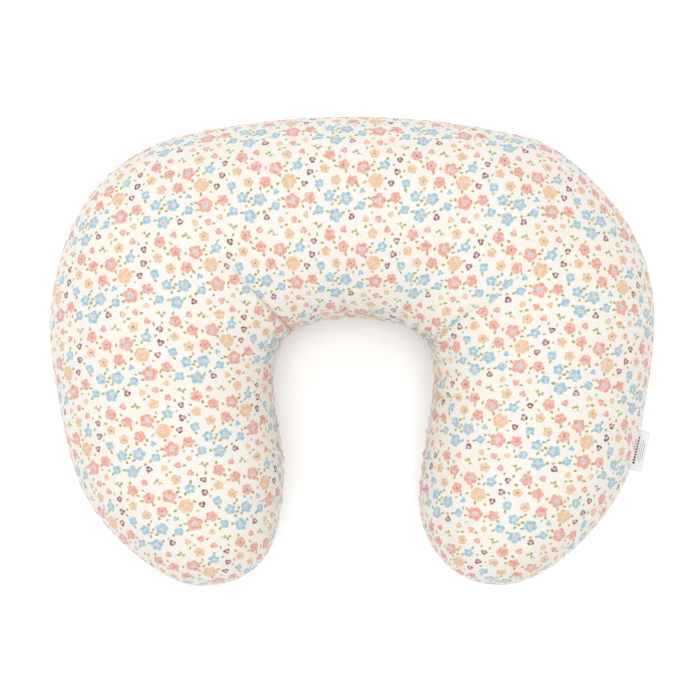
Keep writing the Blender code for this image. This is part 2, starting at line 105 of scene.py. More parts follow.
# Cloth settling on the filling
CLOTH_SETTINGS = {
    "quality": 5, "mass": 0.12, "air_damping": 3,
    "tension_stiffness": 40, "compression_stiffness": 40, "shear_stiffness": 8,
    "bending_stiffness": 0.15, "tension_damping": 8, "compression_damping": 8,
    "bending_damping": 0.5, "use_pressure": True, "uniform_pressure_force": 8.0,
    "vertex_group_mass": "held", "pin_stiffness": 0.0005,
}
CLOTH_FRAMES = 20
BAY_CORNERS = ((-56 * MM, 17 * MM), (75 * MM, 11 * MM))
START_DENTS = 0.5
START_WIDENED = 2.2

# Spare length of cloth along the C: its share, and how far it reaches (m)
SPARE_EVERYWHERE = 0.008
SPARE_INNER, INNER_REACH = 0.038, 50 * MM
SPARE_CORNERS, CORNER_RADIUS, CORNER_REACH = 0.10, 34 * MM, 85 * MM
SPARE_ARMS, ARM_REACH = 0.06, 40 * MM

# Layers, each measured inwards from the cover's outer face
COVER_CLOTH = 0.8 * MM
SEAM_GAP = 0.1 * MM
CASING_DEPTH = 3.3 * MM
CASING_CLOTH = 0.6 * MM
CASING_LABEL_DEPTH = 2.0 * MM
FILL_DEPTH = 4.5 * MM

# Fine rows of a panel: their distances from each seam, and how many lie between
EDGE_ROWS = np.array([0, 0.35, 0.8, 1.4, 2.2, 3.2, 4.6, 6.5, 9.0, 11.5]) * MM
MIDDLE_ROWS = 78

# Edge seam: the size and width of its groove, then the size, distance from the seam and
# width of the swell and the puckers beside it
SEAM_DEPTH, SEAM_WIDTH = 2.4 * MM, 1.5 * MM
SWELL, SWELL_FROM, SWELL_WIDTH = 0.9 * MM, 5 * MM, 3.6 * MM
PUCKER, PUCKER_FROM, PUCKER_WIDTH = 0.55 * MM, 4.5 * MM, 5.0 * MM
PUCKER_WAVES = (15.0 * MM, 21.0 * MM, 12.5 * MM)

# Cover panels: name, whether it is the upper one, seed of its puckers, shift of its print
COVER_PANELS = (
    ("cover_top", True, 3, (0.0, 0.0)),
    ("cover_bottom", False, 8, (0.213, 0.377)),
)

# Zip
ZIP_OPENING_HALF = 4.0 * MM
HEM_ROLL, HEM_ROLL_WIDTH = 0.7 * MM, 0.45 * MM
HEM_STITCH, STITCH_SINK, STITCH_WIDTH = 2.6 * MM, 0.22 * MM, 0.8 * MM
TAPE_EDGE = 0.6 * MM
TAPE_WIDTH = 12 * MM
TAPE_END = 9 * MM
TAPE_DEPTH = 1.1 * MM
TAPE_CLOTH = 0.6 * MM
COIL_PITCH = 1.6 * MM
COIL_WIRE = 0.31 * MM
COIL_MIDDLE, COIL_HALF_WIDTH = 1.15 * MM, 1.1 * MM
COIL_LIFT, COIL_HALF_HEIGHT = 0.1 * MM, 0.58 * MM
COIL_POINTS = 12
THREAD_RADIUS = 0.19 * MM
STITCH_PITCH, STITCH_SHARE, STITCH_DIP = 3.0 * MM, 0.82, 0.45 * MM
WIRE_SIDES = 6

# Side label, a ribbon folded in two
LABEL_LENGTH = 38 * MM
LABEL_REACH = 14 * MM
LABEL_TUCK = -2.6 * MM
LABEL_FOLD = 0.34 * MM
LABEL_CLOTH = 0.26 * MM
LABEL_CURL = 0.9 * MM
LABEL_WAVE, LABEL_WAVE_RUN = 0.35 * MM, 5.5 * MM
LABEL_DROOP = 0.7 * MM

# Bar and dashes on it: run from the seam, half width, half length, pitch (mm), inked share
LABEL_MARKS = (
    (7.0, 1.25, 13.5, 2.6, 0.70),
    (10.1, 0.20, 9.5, 4.1, 0.80),
    (11.9, 0.20, 11.0, 3.3, 0.84),
    (13.7, 0.20, 8.0, 5.0, 0.86),
)

# Light and camera
WORLD_LIGHT = 0.91
CLOTH_REFLECTANCE = 0.745
LIGHTS = (
    ("overhead", (0.0, 0.0, 2.4), 1.4, 23.0),
    ("key", (-1.4, 1.1, 1.7), 0.8, 6.4),
)
CAMERA_DISTANCE = 1.5
VIEW_WIDTH = 0.651
VIEW_CENTRE = (-0.0019, -0.0005)

# Sharp tucks on top: depth, half width and cloth per side (mm), strength of the shade painted
# into the line (it also deepens the line's bump), and points in plan from the bay outwards (m)
CREASES = (
    (2.6, 1.5, 3.6, 1.0, (-0.0535, 0.014), (-0.056, 0.0172), (-0.076, 0.0385), (-0.096, 0.0605),
     (-0.115, 0.081), (-0.119, 0.086)),
    (2.6, 2.2, 4.6, 0.22, (0.066, 0.001), (0.0775, 0.0125), (0.0902, 0.0209), (0.0995, 0.03),
     (0.1098, 0.0367), (0.1191, 0.0377), (0.1265, 0.0451), (0.1358, 0.0544), (0.147, 0.064),
     (0.156, 0.069)),
)

# Soft folds, in the same terms
FOLDS = (
    (2.4, 1.6, 2.8, 0.0, (0.064, 0.01), (0.074, 0.022), (0.081, 0.028)),
    (1.9, 1.6, 2.2, 0.0, (0.056, 0.016), (0.064, 0.029)),
    (2.6, 2.0, 3.2, 0.0, (0.071, -0.002), (0.085, 0.006), (0.099, 0.0085), (0.113, 0.006)),
    (2.0, 2.0, 2.2, 0.0, (0.074, -0.012), (0.09, -0.007), (0.108, -0.01)),
    (2.2, 1.9, 2.4, 0.0, (0.074, -0.026), (0.088, -0.024), (0.102, -0.027)),
    (2.2, 2.0, 2.4, 0.0, (0.073, -0.043), (0.09, -0.044), (0.104, -0.05)),
    (1.8, 1.9, 1.8, 0.0, (0.072, -0.06), (0.085, -0.062), (0.096, -0.068)),
    (2.4, 1.8, 2.6, 0.0, (-0.005, 0.026), (-0.0065, 0.0367), (-0.006, 0.045)),
    (1.5, 1.8, 1.6, 0.0, (0.017, 0.027), (0.02, 0.038)),
    (1.6, 1.8, 1.8, 0.0, (0.042, 0.023), (0.05, 0.035)),
    (1.7, 1.8, 1.8, 0.0, (-0.027, 0.025), (-0.03, 0.037)),
    (1.7, 1.8, 1.8, 0.0, (-0.042, 0.02), (-0.05, 0.033)),
    (2.2, 1.9, 2.4, 0.0, (-0.064, 0.008), (-0.078, 0.017)),
    (2.2, 1.9, 2.4, 0.0, (-0.069, -0.002), (-0.085, 0.005), (-0.095, 0.006)),
    (1.8, 1.9, 1.8, 0.0, (-0.073, -0.014), (-0.092, -0.011)),
    (1.5, 1.9, 1.5, 0.0, (-0.074, -0.028), (-0.09, -0.029)),
    (1.8, 3.2, 1.2, 0.0, (0.27, 0.058), (0.262, 0.048), (0.256, 0.03)),
    (1.6, 2.4, 1.2, 0.0, (0.22, -0.163), (0.208, -0.154)),
    (1.6, 2.4, 1.2, 0.0, (0.196, -0.185), (0.186, -0.174)),
)

# Short puckers along the inner seam: range of their spacing, length, size and lean
PUCKER_GAPS = (0.007, 0.016)
PUCKER_LENGTHS = (0.010, 0.024)
PUCKER_SIZES = (0.5, 1.0)
PUCKER_LEANS = (-0.35, 0.35)
PUCKERS_FROM_TIP = 0.05

# How far from a fold and from a sharp tuck the print is drawn towards them, and half the
# width of the shaded line in a tuck
FOLD_REACH = 14 * MM
CREASE_REACH = 26 * MM
CREASE_LINE = 0.6 * MM


# ------------------------------------------------------------------ outline and skin

class ClosedSpline:
    """A smooth closed curve through its points, spaced by the root of each chord."""

    def __init__(self, points):
        self.points = np.array(points)
        moves = np.roll(self.points, -1, axis=0) - self.points
        self.steps = after = np.linalg.norm(moves, axis=1) ** 0.5
        before = np.roll(after, 1)
        rises = moves / after[:, None]
        right = 3 * (after[:, None] * np.roll(rises, 1, axis=0) + before[:, None] * rises)
        matrix = np.diag(2 * (before + after))
        every = np.arange(len(points))
        matrix[every, every - 1] = after
        matrix[every, (every + 1) % len(points)] = before
        self.slopes = np.linalg.solve(matrix, right)

    def between(self, index, s):
        """The point a share s of the way from one given point to the next."""
        nxt = (index + 1) % len(self.points)
        slope_a, slope_b = self.slopes[[index, nxt]] * self.steps[index]
        return (
            (2 * s**3 - 3 * s**2 + 1) * self.points[index]
            + (s**3 - 2 * s**2 + s) * slope_a
            + (3 * s**2 - 2 * s**3) * self.points[nxt]
            + (s**3 - s**2) * slope_b
        )


def back_arc(angle):
    """A point on the back's arc, its angle measured from +Y towards +X."""
    centre_y = BACK_TOP - BACK_RADIUS
    return np.array([BACK_RADIUS * math.sin(angle), centre_y + BACK_RADIUS * math.cos(angle)])


def stations():
    """Outer end, inner end and back angle (None on the arms) of each rib, left to right."""
    back_angles = np.linspace(-BACK_HALF_ANGLE, BACK_HALF_ANGLE, BACK_RIBS)
    left, right, inner = ([np.array(end) * MM for end in ends]
                          for ends in (LEFT_OUTER, RIGHT_OUTER, INNER))
    outer = left + [back_arc(angle) for angle in back_angles] + right
    spline = ClosedSpline(outer + inner[::-1])
    total = len(spline.points)
    last_back = len(left) + BACK_RIBS - 1

    ribs = []
    for span in range(len(outer) - 1):
        on_back = len(left) <= span < last_back
        at_tip = span in (0, len(outer) - 2)
        steps = BACK_STEPS if on_back else TIP_STEPS if at_tip else ARM_STEPS
        for step in range(0 if span else 1, steps):
            share = step / steps
            angle = None
            if on_back:
                low, high = back_angles[span - len(left):][:2]
                angle = low + (high - low) * share
            elif span == last_back and step == 0:
                angle = BACK_HALF_ANGLE
            outer_end = spline.between(span, share) if angle is None else back_arc(angle)
            ribs.append((outer_end, spline.between((total - span - 1) % total, 1 - share), angle))
    return outer[0], ribs, outer[-1]


def half_section(outer_reach, inner_reach, height, exponent):
    """A half oval from its outer to its inner side, as (reach, rise) points."""
    turn = math.pi * np.arange(SAMPLES + 1) / SAMPLES
    across = np.copysign(np.abs(np.cos(turn)) ** (2 / exponent), np.cos(turn))
    reach = np.where(across > 0, outer_reach, inner_reach) * across
    return np.column_stack([reach, height * np.abs(np.sin(turn)) ** (2 / exponent)])


def unit(vectors):
    return vectors / np.maximum(np.linalg.norm(vectors, axis=-1, keepdims=True), 1e-9)


def bump(distance, width):
    return np.exp(-(distance / width) ** 2)


def run_along(line):
    """Distance of each point of a line from its first, along the line."""
    steps = np.linalg.norm(np.diff(line, axis=0), axis=1)
    return np.concatenate([[0.0], np.cumsum(steps)])


def with_tips(rings, tips):
    """The rings between two more, in which every point is one of the C's tips."""
    first, last = (np.repeat(tip[None, None], rings.shape[1], axis=1) for tip in tips)
    return np.concatenate([first, rings, last])


def ring_runs(rings, inner):
    """Distances along each ring: from the outer seam over the top, and on along the bottom."""
    steps = np.linalg.norm(np.diff(rings, axis=1, append=rings[:, :1]), axis=2)
    return np.cumsum(steps[:, :inner], axis=1), np.cumsum(steps[:, inner:], axis=1)


def grid_faces(count, width, closed=False, tips=False, flip=False):
    """Quads between rings of points, and a fan round each tip, the last two points."""
    faces = []
    steps = [(j, (j + 1) % width) for j in range(width if closed else width - 1)]
    for i in range(count - 1):
        low, high = i * width, (i + 1) * width
        faces += [(low + j, low + k, high + k, high + j) for j, k in steps]
    if tips:
        end, last = count * width, (count - 1) * width
        for j, k in steps:
            faces += [(end, k, j), (end + 1, last + j, last + k)]
    return [face[::-1] for face in faces] if flip else faces


def walk(line, distances):
    """Points at the given distances along a line."""
    along = run_along(line)
    return np.column_stack([np.interp(distances, along, line[:, k]) for k in range(line.shape[1])])


def seam_point(line, index, height):
    """Where the line crosses a height, next to the given point that lies below it."""
    other = index - 1 if index < len(line) / 2 else index + 1
    low, high = line[index], line[other]
    share = (height - low[1]) / (high[1] - low[1])
    return low + (high - low) * share


def rib_ring(outer_end, inner_end, back_angle):
    """One closed ring of skin points: outer seam, over the top, inner seam, under the bottom."""
    across = outer_end - inner_end
    length = np.linalg.norm(across)
    across = across / length
    fullness = 1 - max(0.0, 1 - length / FULL_WIDTH) ** END_EXPONENT
    outer_reach = 0.5 * length
    if back_angle is not None:
        radial = np.array([math.sin(back_angle), math.cos(back_angle)])
        outer_reach = CREST_FROM_BACK / float(across @ radial)
    inner_reach = length - outer_reach
    crest = outer_end - across * outer_reach

    top = half_section(outer_reach, inner_reach, fullness * (THICKNESS - WIDEST_HEIGHT), 2.0)
    depth = fullness * (WIDEST_HEIGHT + BOTTOM_SAG)
    bottom = half_section(outer_reach, inner_reach, depth, BOTTOM_EXPONENT)
    bottom[:, 1] = -np.minimum(bottom[:, 1], WIDEST_HEIGHT)
    drop = -SEAM_DROP * fullness
    below = bottom[:, 1] <= drop
    first, last = np.argmax(below), len(below) - 1 - np.argmax(below[::-1])
    start, end = seam_point(bottom, first, drop), seam_point(bottom, last, drop)
    top_line = np.vstack([[start], bottom[:first][::-1], top[1:-1],
                          bottom[last + 1:][::-1], [end]])
    bottom_line = np.vstack([[start], bottom[first:last + 1], [end]])

    rows = []
    for line, flat_band in ((top_line, SEAM_BAND_OVER), (bottom_line, SEAM_BAND)):
        around = np.linalg.norm(np.diff(line, axis=0), axis=1).sum()
        band = min(flat_band, BAND_SHARE * around)
        rows.append(walk(line, np.linspace(band, around - band, CREST_ROWS)))
    over, under = rows
    outer_seam = (over[0] + under[0]) / 2
    inner_seam = (over[-1] + under[-1]) / 2
    shares = np.array(BAND_ROWS)[:, None] / SEAM_BAND
    ring = np.vstack([
        [outer_seam],
        outer_seam + (over[0] - outer_seam) * shares,
        over,
        inner_seam + (over[-1] - inner_seam) * shares[::-1],
        [inner_seam],
        inner_seam + (under[-1] - inner_seam) * shares,
        under[::-1],
        outer_seam + (under[0] - outer_seam) * shares[::-1],
    ])
    flat = crest + ring[:, :1] * across
    return np.column_stack([flat, WIDEST_HEIGHT + ring[:, 1]])


class Skin:
    """The stuffed shape as a closed grid, with the place of each point on the flat cut."""

    def __init__(self):
        left_tip, ribs, right_tip = stations()
        self.angles = [rib[2] for rib in ribs]
        self.rings = np.array([rib_ring(*rib) for rib in ribs])
        self.tips = np.array([[*left_tip, WIDEST_HEIGHT], [*right_tip, WIDEST_HEIGHT]])
        self.inner = self.rings.shape[1] // 2
        self.middle = self.angles.index(0.0)

    def reaches(self):
        """How far each point lies from its rib's middle along the cloth, outwards positive."""
        over, under = ring_runs(self.rings, self.inner)
        width = (over[:, -1:] + under[:, -1:]) / 2
        out = np.zeros(self.rings.shape[:2])
        out[:, 0] = width[:, 0] / 2
        out[:, 1:self.inner + 1] = width / 2 - over * (width / over[:, -1:])
        out[:, self.inner + 1:] = -width / 2 + under[:, :-1] * (width / under[:, -1:])
        return out

    def cut(self, bend):
        """Flat places of the ring points and tips, with every turn of the C scaled by bend."""
        half = self.inner // 2
        middles = (self.rings[:, half] + self.rings[:, half + 1]) / 2
        spine = np.vstack([self.tips[:1], middles, self.tips[1:]])
        steps = np.diff(spine, axis=0)
        headings = np.unwrap(np.arctan2(steps[:, 1], steps[:, 0])) * bend
        lengths = np.linalg.norm(steps, axis=1)
        moves = lengths[:, None] * np.column_stack([np.cos(headings), np.sin(headings)])
        places = np.vstack([[0.0, 0.0], np.cumsum(moves, axis=0)])
        places -= places[self.middle + 1]
        out = self.rings[:, 0, :2] - self.rings[:, self.inner, :2]
        turns = np.unwrap(np.arctan2(out[:, 1], out[:, 0]))
        turns = math.pi / 2 + (turns - turns[self.middle]) * bend
        away = np.column_stack([np.cos(turns), np.sin(turns)])
        return places[1:-1, None] + self.reaches()[..., None] * away[:, None], places[[0, -1]]


def surface_normals(rings, tips):
    """Outward unit normals of a closed grid that runs out to its two tips."""
    padded = with_tips(rings, tips)
    along = padded[2:] - padded[:-2]
    across = np.roll(rings, -1, axis=1) - np.roll(rings, 1, axis=1)
    normals = np.cross(across, along)
    return normals / np.linalg.norm(normals, axis=2, keepdims=True)


def seam_distances(rings, inner):
    """Distance of every point from the outer and from the inner seam, along its ring."""
    over, under = ring_runs(rings, inner)
    start = np.zeros((len(rings), 1))
    from_outer = np.hstack([start, over, under[:, -1:] - under[:, :-1]])
    from_inner = np.hstack([over[:, -1:], over[:, -1:] - over, under[:, :-1]])
    return from_outer, from_inner


# ------------------------------------------------------------------ folds

def near_line(points, line):
    """Plan vector from the nearest point of a line, its side and the share passed there."""
    line = np.array(line)
    steps = np.diff(line, axis=0)
    lengths = np.linalg.norm(steps, axis=1)
    passed = run_along(line)
    best = np.full(points.shape[:2] + (2,), 1e3)
    share = np.zeros(points.shape[:2])
    side = np.ones(points.shape[:2])
    for start, step, length, before in zip(line, steps, lengths, passed):
        offset = points[..., :2] - start
        run = np.clip(offset @ step / length**2, 0, 1)
        gap = offset - run[..., None] * step
        nearer = np.linalg.norm(gap, axis=2) < np.linalg.norm(best, axis=2)
        best = np.where(nearer[..., None], gap, best)
        share = np.where(nearer, (before + run * length) / passed[-1], share)
        turn = step[0] * offset[..., 1] - step[1] * offset[..., 0]
        side = np.where(nearer, np.where(turn < 0, -1.0, 1.0), side)
    return best, share, side


def fading(share):
    """1 along most of a fold, easing in at the bay and out to nothing at its far end."""
    return np.clip(1 - share, 0, 1) ** 0.6 * np.clip(0.5 + share * 8, 0, 1)


class Fold:
    """A fold or tuck: its line in plan, depth, half width, cloth per side and shade painted in its
    line.
    """

    def __init__(self, depth, half_width, cloth, darkness, *line):
        self.depth, self.half_width, self.cloth = depth, half_width, cloth
        self.darkness, self.line = darkness, line

    def sink(self, points, widen):
        """How far the fold sinks each point: a crease between two low lips."""
        gap, share, _ = near_line(points, self.line)
        across = np.linalg.norm(gap, axis=2)
        width = self.half_width * widen * (1 + 0.5 * share)
        crease = np.exp(-(across / width) ** 1.2)
        lips = bump(across - 2.3 * width, 1.3 * width)
        return self.depth * fading(share) * (crease - 0.28 * lips)

    def pull(self, gap, share, reach):
        """How far the fold draws the print towards its line."""
        return self.cloth * np.exp(-np.linalg.norm(gap, axis=2) / reach) * fading(share)


def listed_folds(rows):
    return [Fold(*(size * MM for size in row[:3]), *row[3:]) for row in rows]


def edge_folds(skin):
    """Short puckers that run up from the inner seam, closest together round the bay."""
    random = np.random.default_rng(12)
    seam = skin.rings[:, skin.inner, :2]
    length = run_along(seam)[-1]
    folds = []
    place = PUCKERS_FROM_TIP
    while place < length - PUCKERS_FROM_TIP:
        point = walk(seam, [place])[0]
        index = int(np.argmin(np.linalg.norm(seam - point, axis=1)))
        out = unit(skin.rings[index, 0, :2] - seam[index])
        out = out + random.uniform(*PUCKER_LEANS) * np.array([-out[1], out[0]])
        reach = random.uniform(*PUCKER_LENGTHS)
        size = random.uniform(*PUCKER_SIZES)
        folds.append(Fold(0.8 * MM * size, 1.5 * MM, 1.7 * MM * size, 0.0,
                          point - 0.004 * out, point + reach * out))
        place += random.uniform(*PUCKER_GAPS)
    return folds


def on_print(rings, flat, direction):
    """A plan direction at every point of the cloth, turned into a direction on its print."""
    moved = np.zeros(flat.shape)
    for axis in (0, 1):
        along = unit(np.gradient(rings[..., :2], axis=axis))
        printed = unit(np.gradient(flat, axis=axis))
        moved += (direction * along).sum(axis=2, keepdims=True) * printed
    return moved


def tuck_print(rings, flat, fold):
    """Draws the print into a fold from both sides, as the cloth runs down into it."""
    gap, share, _ = near_line(rings, fold.line)
    return fold.pull(gap, share, FOLD_REACH)[..., None] * on_print(rings, flat, unit(gap))


def crease_facts(rings, flat, creases):
    """For the nearest sharp tuck: the print's shift on its left side, signed gap, painted shade
    strength.
    """
    nearest = np.full(rings.shape[:2], 1e3)
    facts = np.zeros(rings.shape[:2] + (4,))
    for crease in creases:
        gap, share, side = near_line(rings, crease.line)
        across = np.linalg.norm(gap, axis=2)
        pull = crease.pull(gap, share, CREASE_REACH)
        shift = pull[..., None] * on_print(rings, flat, unit(gap) * side[..., None])
        mine = np.dstack([shift, across * side, crease.darkness * fading(share)])
        facts = np.where((across < nearest)[..., None], mine, facts)
        nearest = np.minimum(nearest, across)
    return facts


# ------------------------------------------------------------------ cloth

def spare_length(skin, from_outer, from_inner):
    """Share of extra cloth along the C: most at the bay's corners, some at the seams."""
    seam = skin.rings[:, skin.inner, :2]
    spare = SPARE_EVERYWHERE + SPARE_INNER * bump(from_inner, INNER_REACH)
    for corner in BAY_CORNERS:
        near = bump(np.linalg.norm(seam - np.array(corner), axis=1), CORNER_RADIUS)
        spare = spare + SPARE_CORNERS * near[:, None] * bump(from_inner, CORNER_REACH)
    arms = np.array([0.0 if angle is not None else 1.0 for angle in skin.angles])
    return spare + SPARE_ARMS * arms[:, None] * bump(from_outer, ARM_REACH)


def held_shares(skin, spare, from_outer, from_inner):
    """How firmly each point of the cloth is held in place: fully at the seam and the zip."""
    held = 0.60 - 0.16 * np.clip(spare / SPARE_CORNERS, 0, 1)
    zipped = np.array([angle is not None and abs(angle) < ZIP_HALF_ANGLE + 0.02
                       for angle in skin.angles])
    held[zipped[:, None] & (from_outer < SEAM_BAND * 1.1)] = 1.0
    held[from_outer < 1 * MM] = 1.0
    held[from_inner < 1 * MM] = 0.9
    held[skin.rings[..., 2] < 4 * MM] = 0.85
    return held


def cut_longer(skin, spare, normals):
    """The skin's points moved in and out in zigzags, which makes the cloth longer along the C."""
    steps = np.linalg.norm(np.diff(skin.rings, axis=0, append=skin.rings[-1:]), axis=2)
    steps[-1] = steps[-2]
    zigzag = steps * np.sqrt((1 + spare) ** 2 - 1) / 2
    zigzag *= (-1.0) ** np.arange(len(steps))[:, None]
    return skin.rings + zigzag[..., None] * normals


def settled(skin, start, cut, held):
    """Where the cloth's ring points come to rest from the start, its lengths being the cut's."""
    mesh = bpy.data.meshes.new("settling_cloth")
    faces = grid_faces(*skin.rings.shape[:2], closed=True, tips=True)
    points = np.vstack([start.reshape(-1, 3), skin.tips])
    mesh.from_pydata(points.tolist(), [], faces)
    cloth = add_object("settling_cloth", mesh)
    cloth.shape_key_add(name="Basis")
    key = cloth.shape_key_add(name="cut")
    flat = np.vstack([cut.reshape(-1, 3), skin.tips]).astype(np.float32)
    key.data.foreach_set("co", flat.ravel())

    group = cloth.vertex_groups.new(name="held")
    for index, weight in enumerate(held.ravel()):
        group.add([index], float(weight), "REPLACE")
    group.add([len(points) - 2, len(points) - 1], 1.0, "REPLACE")

    modifier = cloth.modifiers.new("Cloth", "CLOTH")
    settings = modifier.settings
    for name, value in CLOTH_SETTINGS.items():
        setattr(settings, name, value)
    settings.rest_shape_key = key
    settings.effector_weights.gravity = 0
    modifier.collision_settings.use_collision = False
    modifier.point_cache.frame_end = CLOTH_FRAMES
    scene = bpy.context.scene
    for number in range(1, CLOTH_FRAMES + 1):
        scene.frame_set(number)
    rested = cloth.evaluated_get(bpy.context.evaluated_depsgraph_get()).to_mesh()
    result = np.zeros(len(points) * 3)
    rested.vertices.foreach_get("co", result)
    bpy.data.objects.remove(cloth)
    bpy.data.meshes.remove(mesh)
    scene.frame_set(1)
    return result.reshape(-1, 3)[:-2].reshape(skin.rings.shape)


def relax_cloth(skin):
    """The ring points of the cover's cloth after it settles on the filling."""
    from_outer, from_inner = seam_distances(skin.rings, skin.inner)
    normals = surface_normals(skin.rings, skin.tips)
    on_top = np.zeros(from_outer.shape)
    on_top[:, 2:skin.inner - 1] = 1.0
    folds = listed_folds(CREASES + FOLDS) + edge_folds(skin)
    dents = sum(fold.sink(skin.rings, START_WIDENED) for fold in folds) * on_top * START_DENTS
    start = skin.rings - dents[..., None] * normals

    spare = spare_length(skin, from_outer, from_inner)
    held = held_shares(skin, spare, from_outer, from_inner)
    return settled(skin, start, cut_longer(skin, spare, normals), held)


# ------------------------------------------------------------------ fine surface

def smooth_between(values, places):
    """Catmull-Rom values at fractional places along the first axis."""
    count = len(values)
    base = np.clip(np.floor(places).astype(int), 0, count - 2)
    t = (places - base).reshape((-1,) + (1,) * (values.ndim - 1))
    a, b, c, d = (values[np.clip(base + k, 0, count - 1)] for k in (-1, 0, 1, 2))
    return b + 0.5 * t * (c - a + t * (2 * a - 5 * b + 4 * c - d + t * (3 * (b - c) + d - a)))


class Cover:
    """The settled cloth at full detail: fine rows from seam to seam for both panels."""

    def __init__(self, skin, rings):
        self.tips, self.inner = skin.tips, skin.inner
        flat, self.flat_tips = skin.cut(PRINT_BEND)
        spans = len(rings) + 1
        places = np.linspace(0, spans, 2 * spans + 1)[1:-1]
        self.rings = smooth_between(with_tips(rings, self.tips), places)
        self.flat = smooth_between(with_tips(flat, self.flat_tips), places)
        self.normals = surface_normals(self.rings, self.tips)
        self.inward = seam_distances(self.rings, self.inner)[1]
        angles = [math.pi if angle is None else angle for angle in [None, *skin.angles, None]]
        self.angles = np.interp(places, np.arange(len(angles)), angles)
        self.add_folds(listed_folds(CREASES), listed_folds(FOLDS) + edge_folds(skin))
        self.tip_normals = unit(np.array([[-0.2, -1.0, 0.0], [0.2, -1.0, 0.0]]))

    def add_folds(self, creases, folds):
        on_top = np.clip(self.inward / (5 * MM), 0, 1)
        on_top[:, self.inner:] = 0.0
        dents = sum(fold.sink(self.rings, 1.0) for fold in [*creases, *folds]) * on_top
        moved = sum(tuck_print(self.rings, self.flat, fold) for fold in folds)
        self.creases = crease_facts(self.rings, self.flat, creases) * on_top[..., None]
        self.flat = self.flat + moved * on_top[..., None]
        self.rings = self.rings - dents[..., None] * self.normals
        self.normals = surface_normals(self.rings, self.tips)

    def zipped(self):
        """1 along the zip's opening, falling to 0 just past its ends."""
        past = (np.abs(self.angles) - ZIP_HALF_ANGLE) * BACK_RADIUS
        return np.clip(1 - past / (6 * MM), 0, 1)

    def across(self, top):
        """Indices of a ring's points from the outer to the inner seam, over one panel."""
        around = self.rings.shape[1]
        return np.arange(self.inner + 1) if top else np.arange(around, self.inner - 1, -1) % around

    def panel_rows(self, top):
        """Points, normals, print places and distances of one panel's fine rows."""
        order = self.across(top)
        zipped = self.zipped()
        rows = []
        for i, line in enumerate(self.rings[:, order]):
            passed = run_along(line)
            length = passed[-1]
            scale = min(1.0, length * BAND_SHARE / SEAM_BAND)
            edge = EDGE_ROWS * scale
            opening = ZIP_OPENING_HALF * zipped[i]
            first = edge + opening * (1 - edge / SEAM_BAND)
            band = SEAM_BAND * scale
            middle = np.linspace(band, length - band, MIDDLE_ROWS)
            wanted = np.concatenate([first, middle, (length - edge)[::-1]])
            place = np.interp(wanted, passed, np.arange(len(line)))
            data = np.column_stack([line, self.normals[i, order], self.flat[i, order],
                                    self.creases[i, order]])
            fine = smooth_between(data, place)
            depth = np.minimum(wanted - opening, length - wanted)
            near_outer = wanted < length / 2
            rows.append(np.column_stack([fine[:, :8], depth / max(scale, 0.05), near_outer,
                                         fine[:, 8:]]))
        return np.array(rows)


def seam_shape(cover, rows, seed):
    """Sinks the panel's edges into the seam, rolls them at the zip, and puckers both."""
    depth, near_outer = rows[..., 8], rows[..., 9]
    zipped = cover.zipped()[:, None] * near_outer
    groove = SEAM_DEPTH * np.exp(-(depth / SEAM_WIDTH) ** 1.1)
    roll = HEM_ROLL * bump(depth, HEM_ROLL_WIDTH)
    stitched = STITCH_SINK * bump(depth - HEM_STITCH, STITCH_WIDTH)
    swell = SWELL * bump(depth - SWELL_FROM, SWELL_WIDTH)
    sunk = (1 - zipped) * (groove - swell) + zipped * (roll + stitched)
    run = np.zeros(rows.shape[:2])
    steps = np.linalg.norm(np.diff(rows[..., :3], axis=0), axis=2)
    run[1:] = np.cumsum(steps, axis=0)
    edge = np.where(near_outer > 0.5, run[:, :1], run[:, -1:])
    random = np.random.default_rng(seed)
    puckers = 0
    for wave in PUCKER_WAVES:
        phase, drift = random.uniform(0, 2 * math.pi, 2)
        puckers = puckers + np.sin(2 * math.pi * edge / wave + phase
                                   + 2.2 * np.sin(2 * math.pi * edge / 0.11 + drift))
    patchy = 0.6 + 0.4 * np.sin(2 * math.pi * edge / 0.19 + seed)
    tips_fade = np.clip(np.minimum(run, run[-1:] - run) / 0.02, 0, 1)
    height = PUCKER * patchy * (1 - 0.8 * zipped) * tips_fade
    swing = height * puckers * bump(depth - PUCKER_FROM, PUCKER_WIDTH)
    return rows[..., :3] + (swing - sunk)[..., None] * rows[..., 3:6]


def add_object(name, data, place=(0, 0, 0)):
    item = bpy.data.objects.new(name, data)
    item.location = place
    bpy.context.scene.collection.objects.link(item)
    return item


def add_mesh(name, points, faces, slot, material, body="pillow", **layers):
    """A smooth mesh that rides on a body; each layer gives the points' places by its name."""
    mesh = bpy.data.meshes.new(name)
    mesh.from_pydata(np.asarray(points).tolist(), [], faces)
    for title, places in layers.items():
        layer = mesh.uv_layers.new(name=title)
        corners = np.zeros(len(mesh.loops), dtype=np.int32)
        mesh.loops.foreach_get("vertex_index", corners)
        layer.data.foreach_set("uv", np.asarray(places, dtype=np.float32)[corners].ravel())
    mesh.polygons.foreach_set("use_smooth", [True] * len(mesh.polygons))
    mesh.materials.append(material)
    item = add_object(name, mesh)
    if body:
        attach(item, body)
    return item


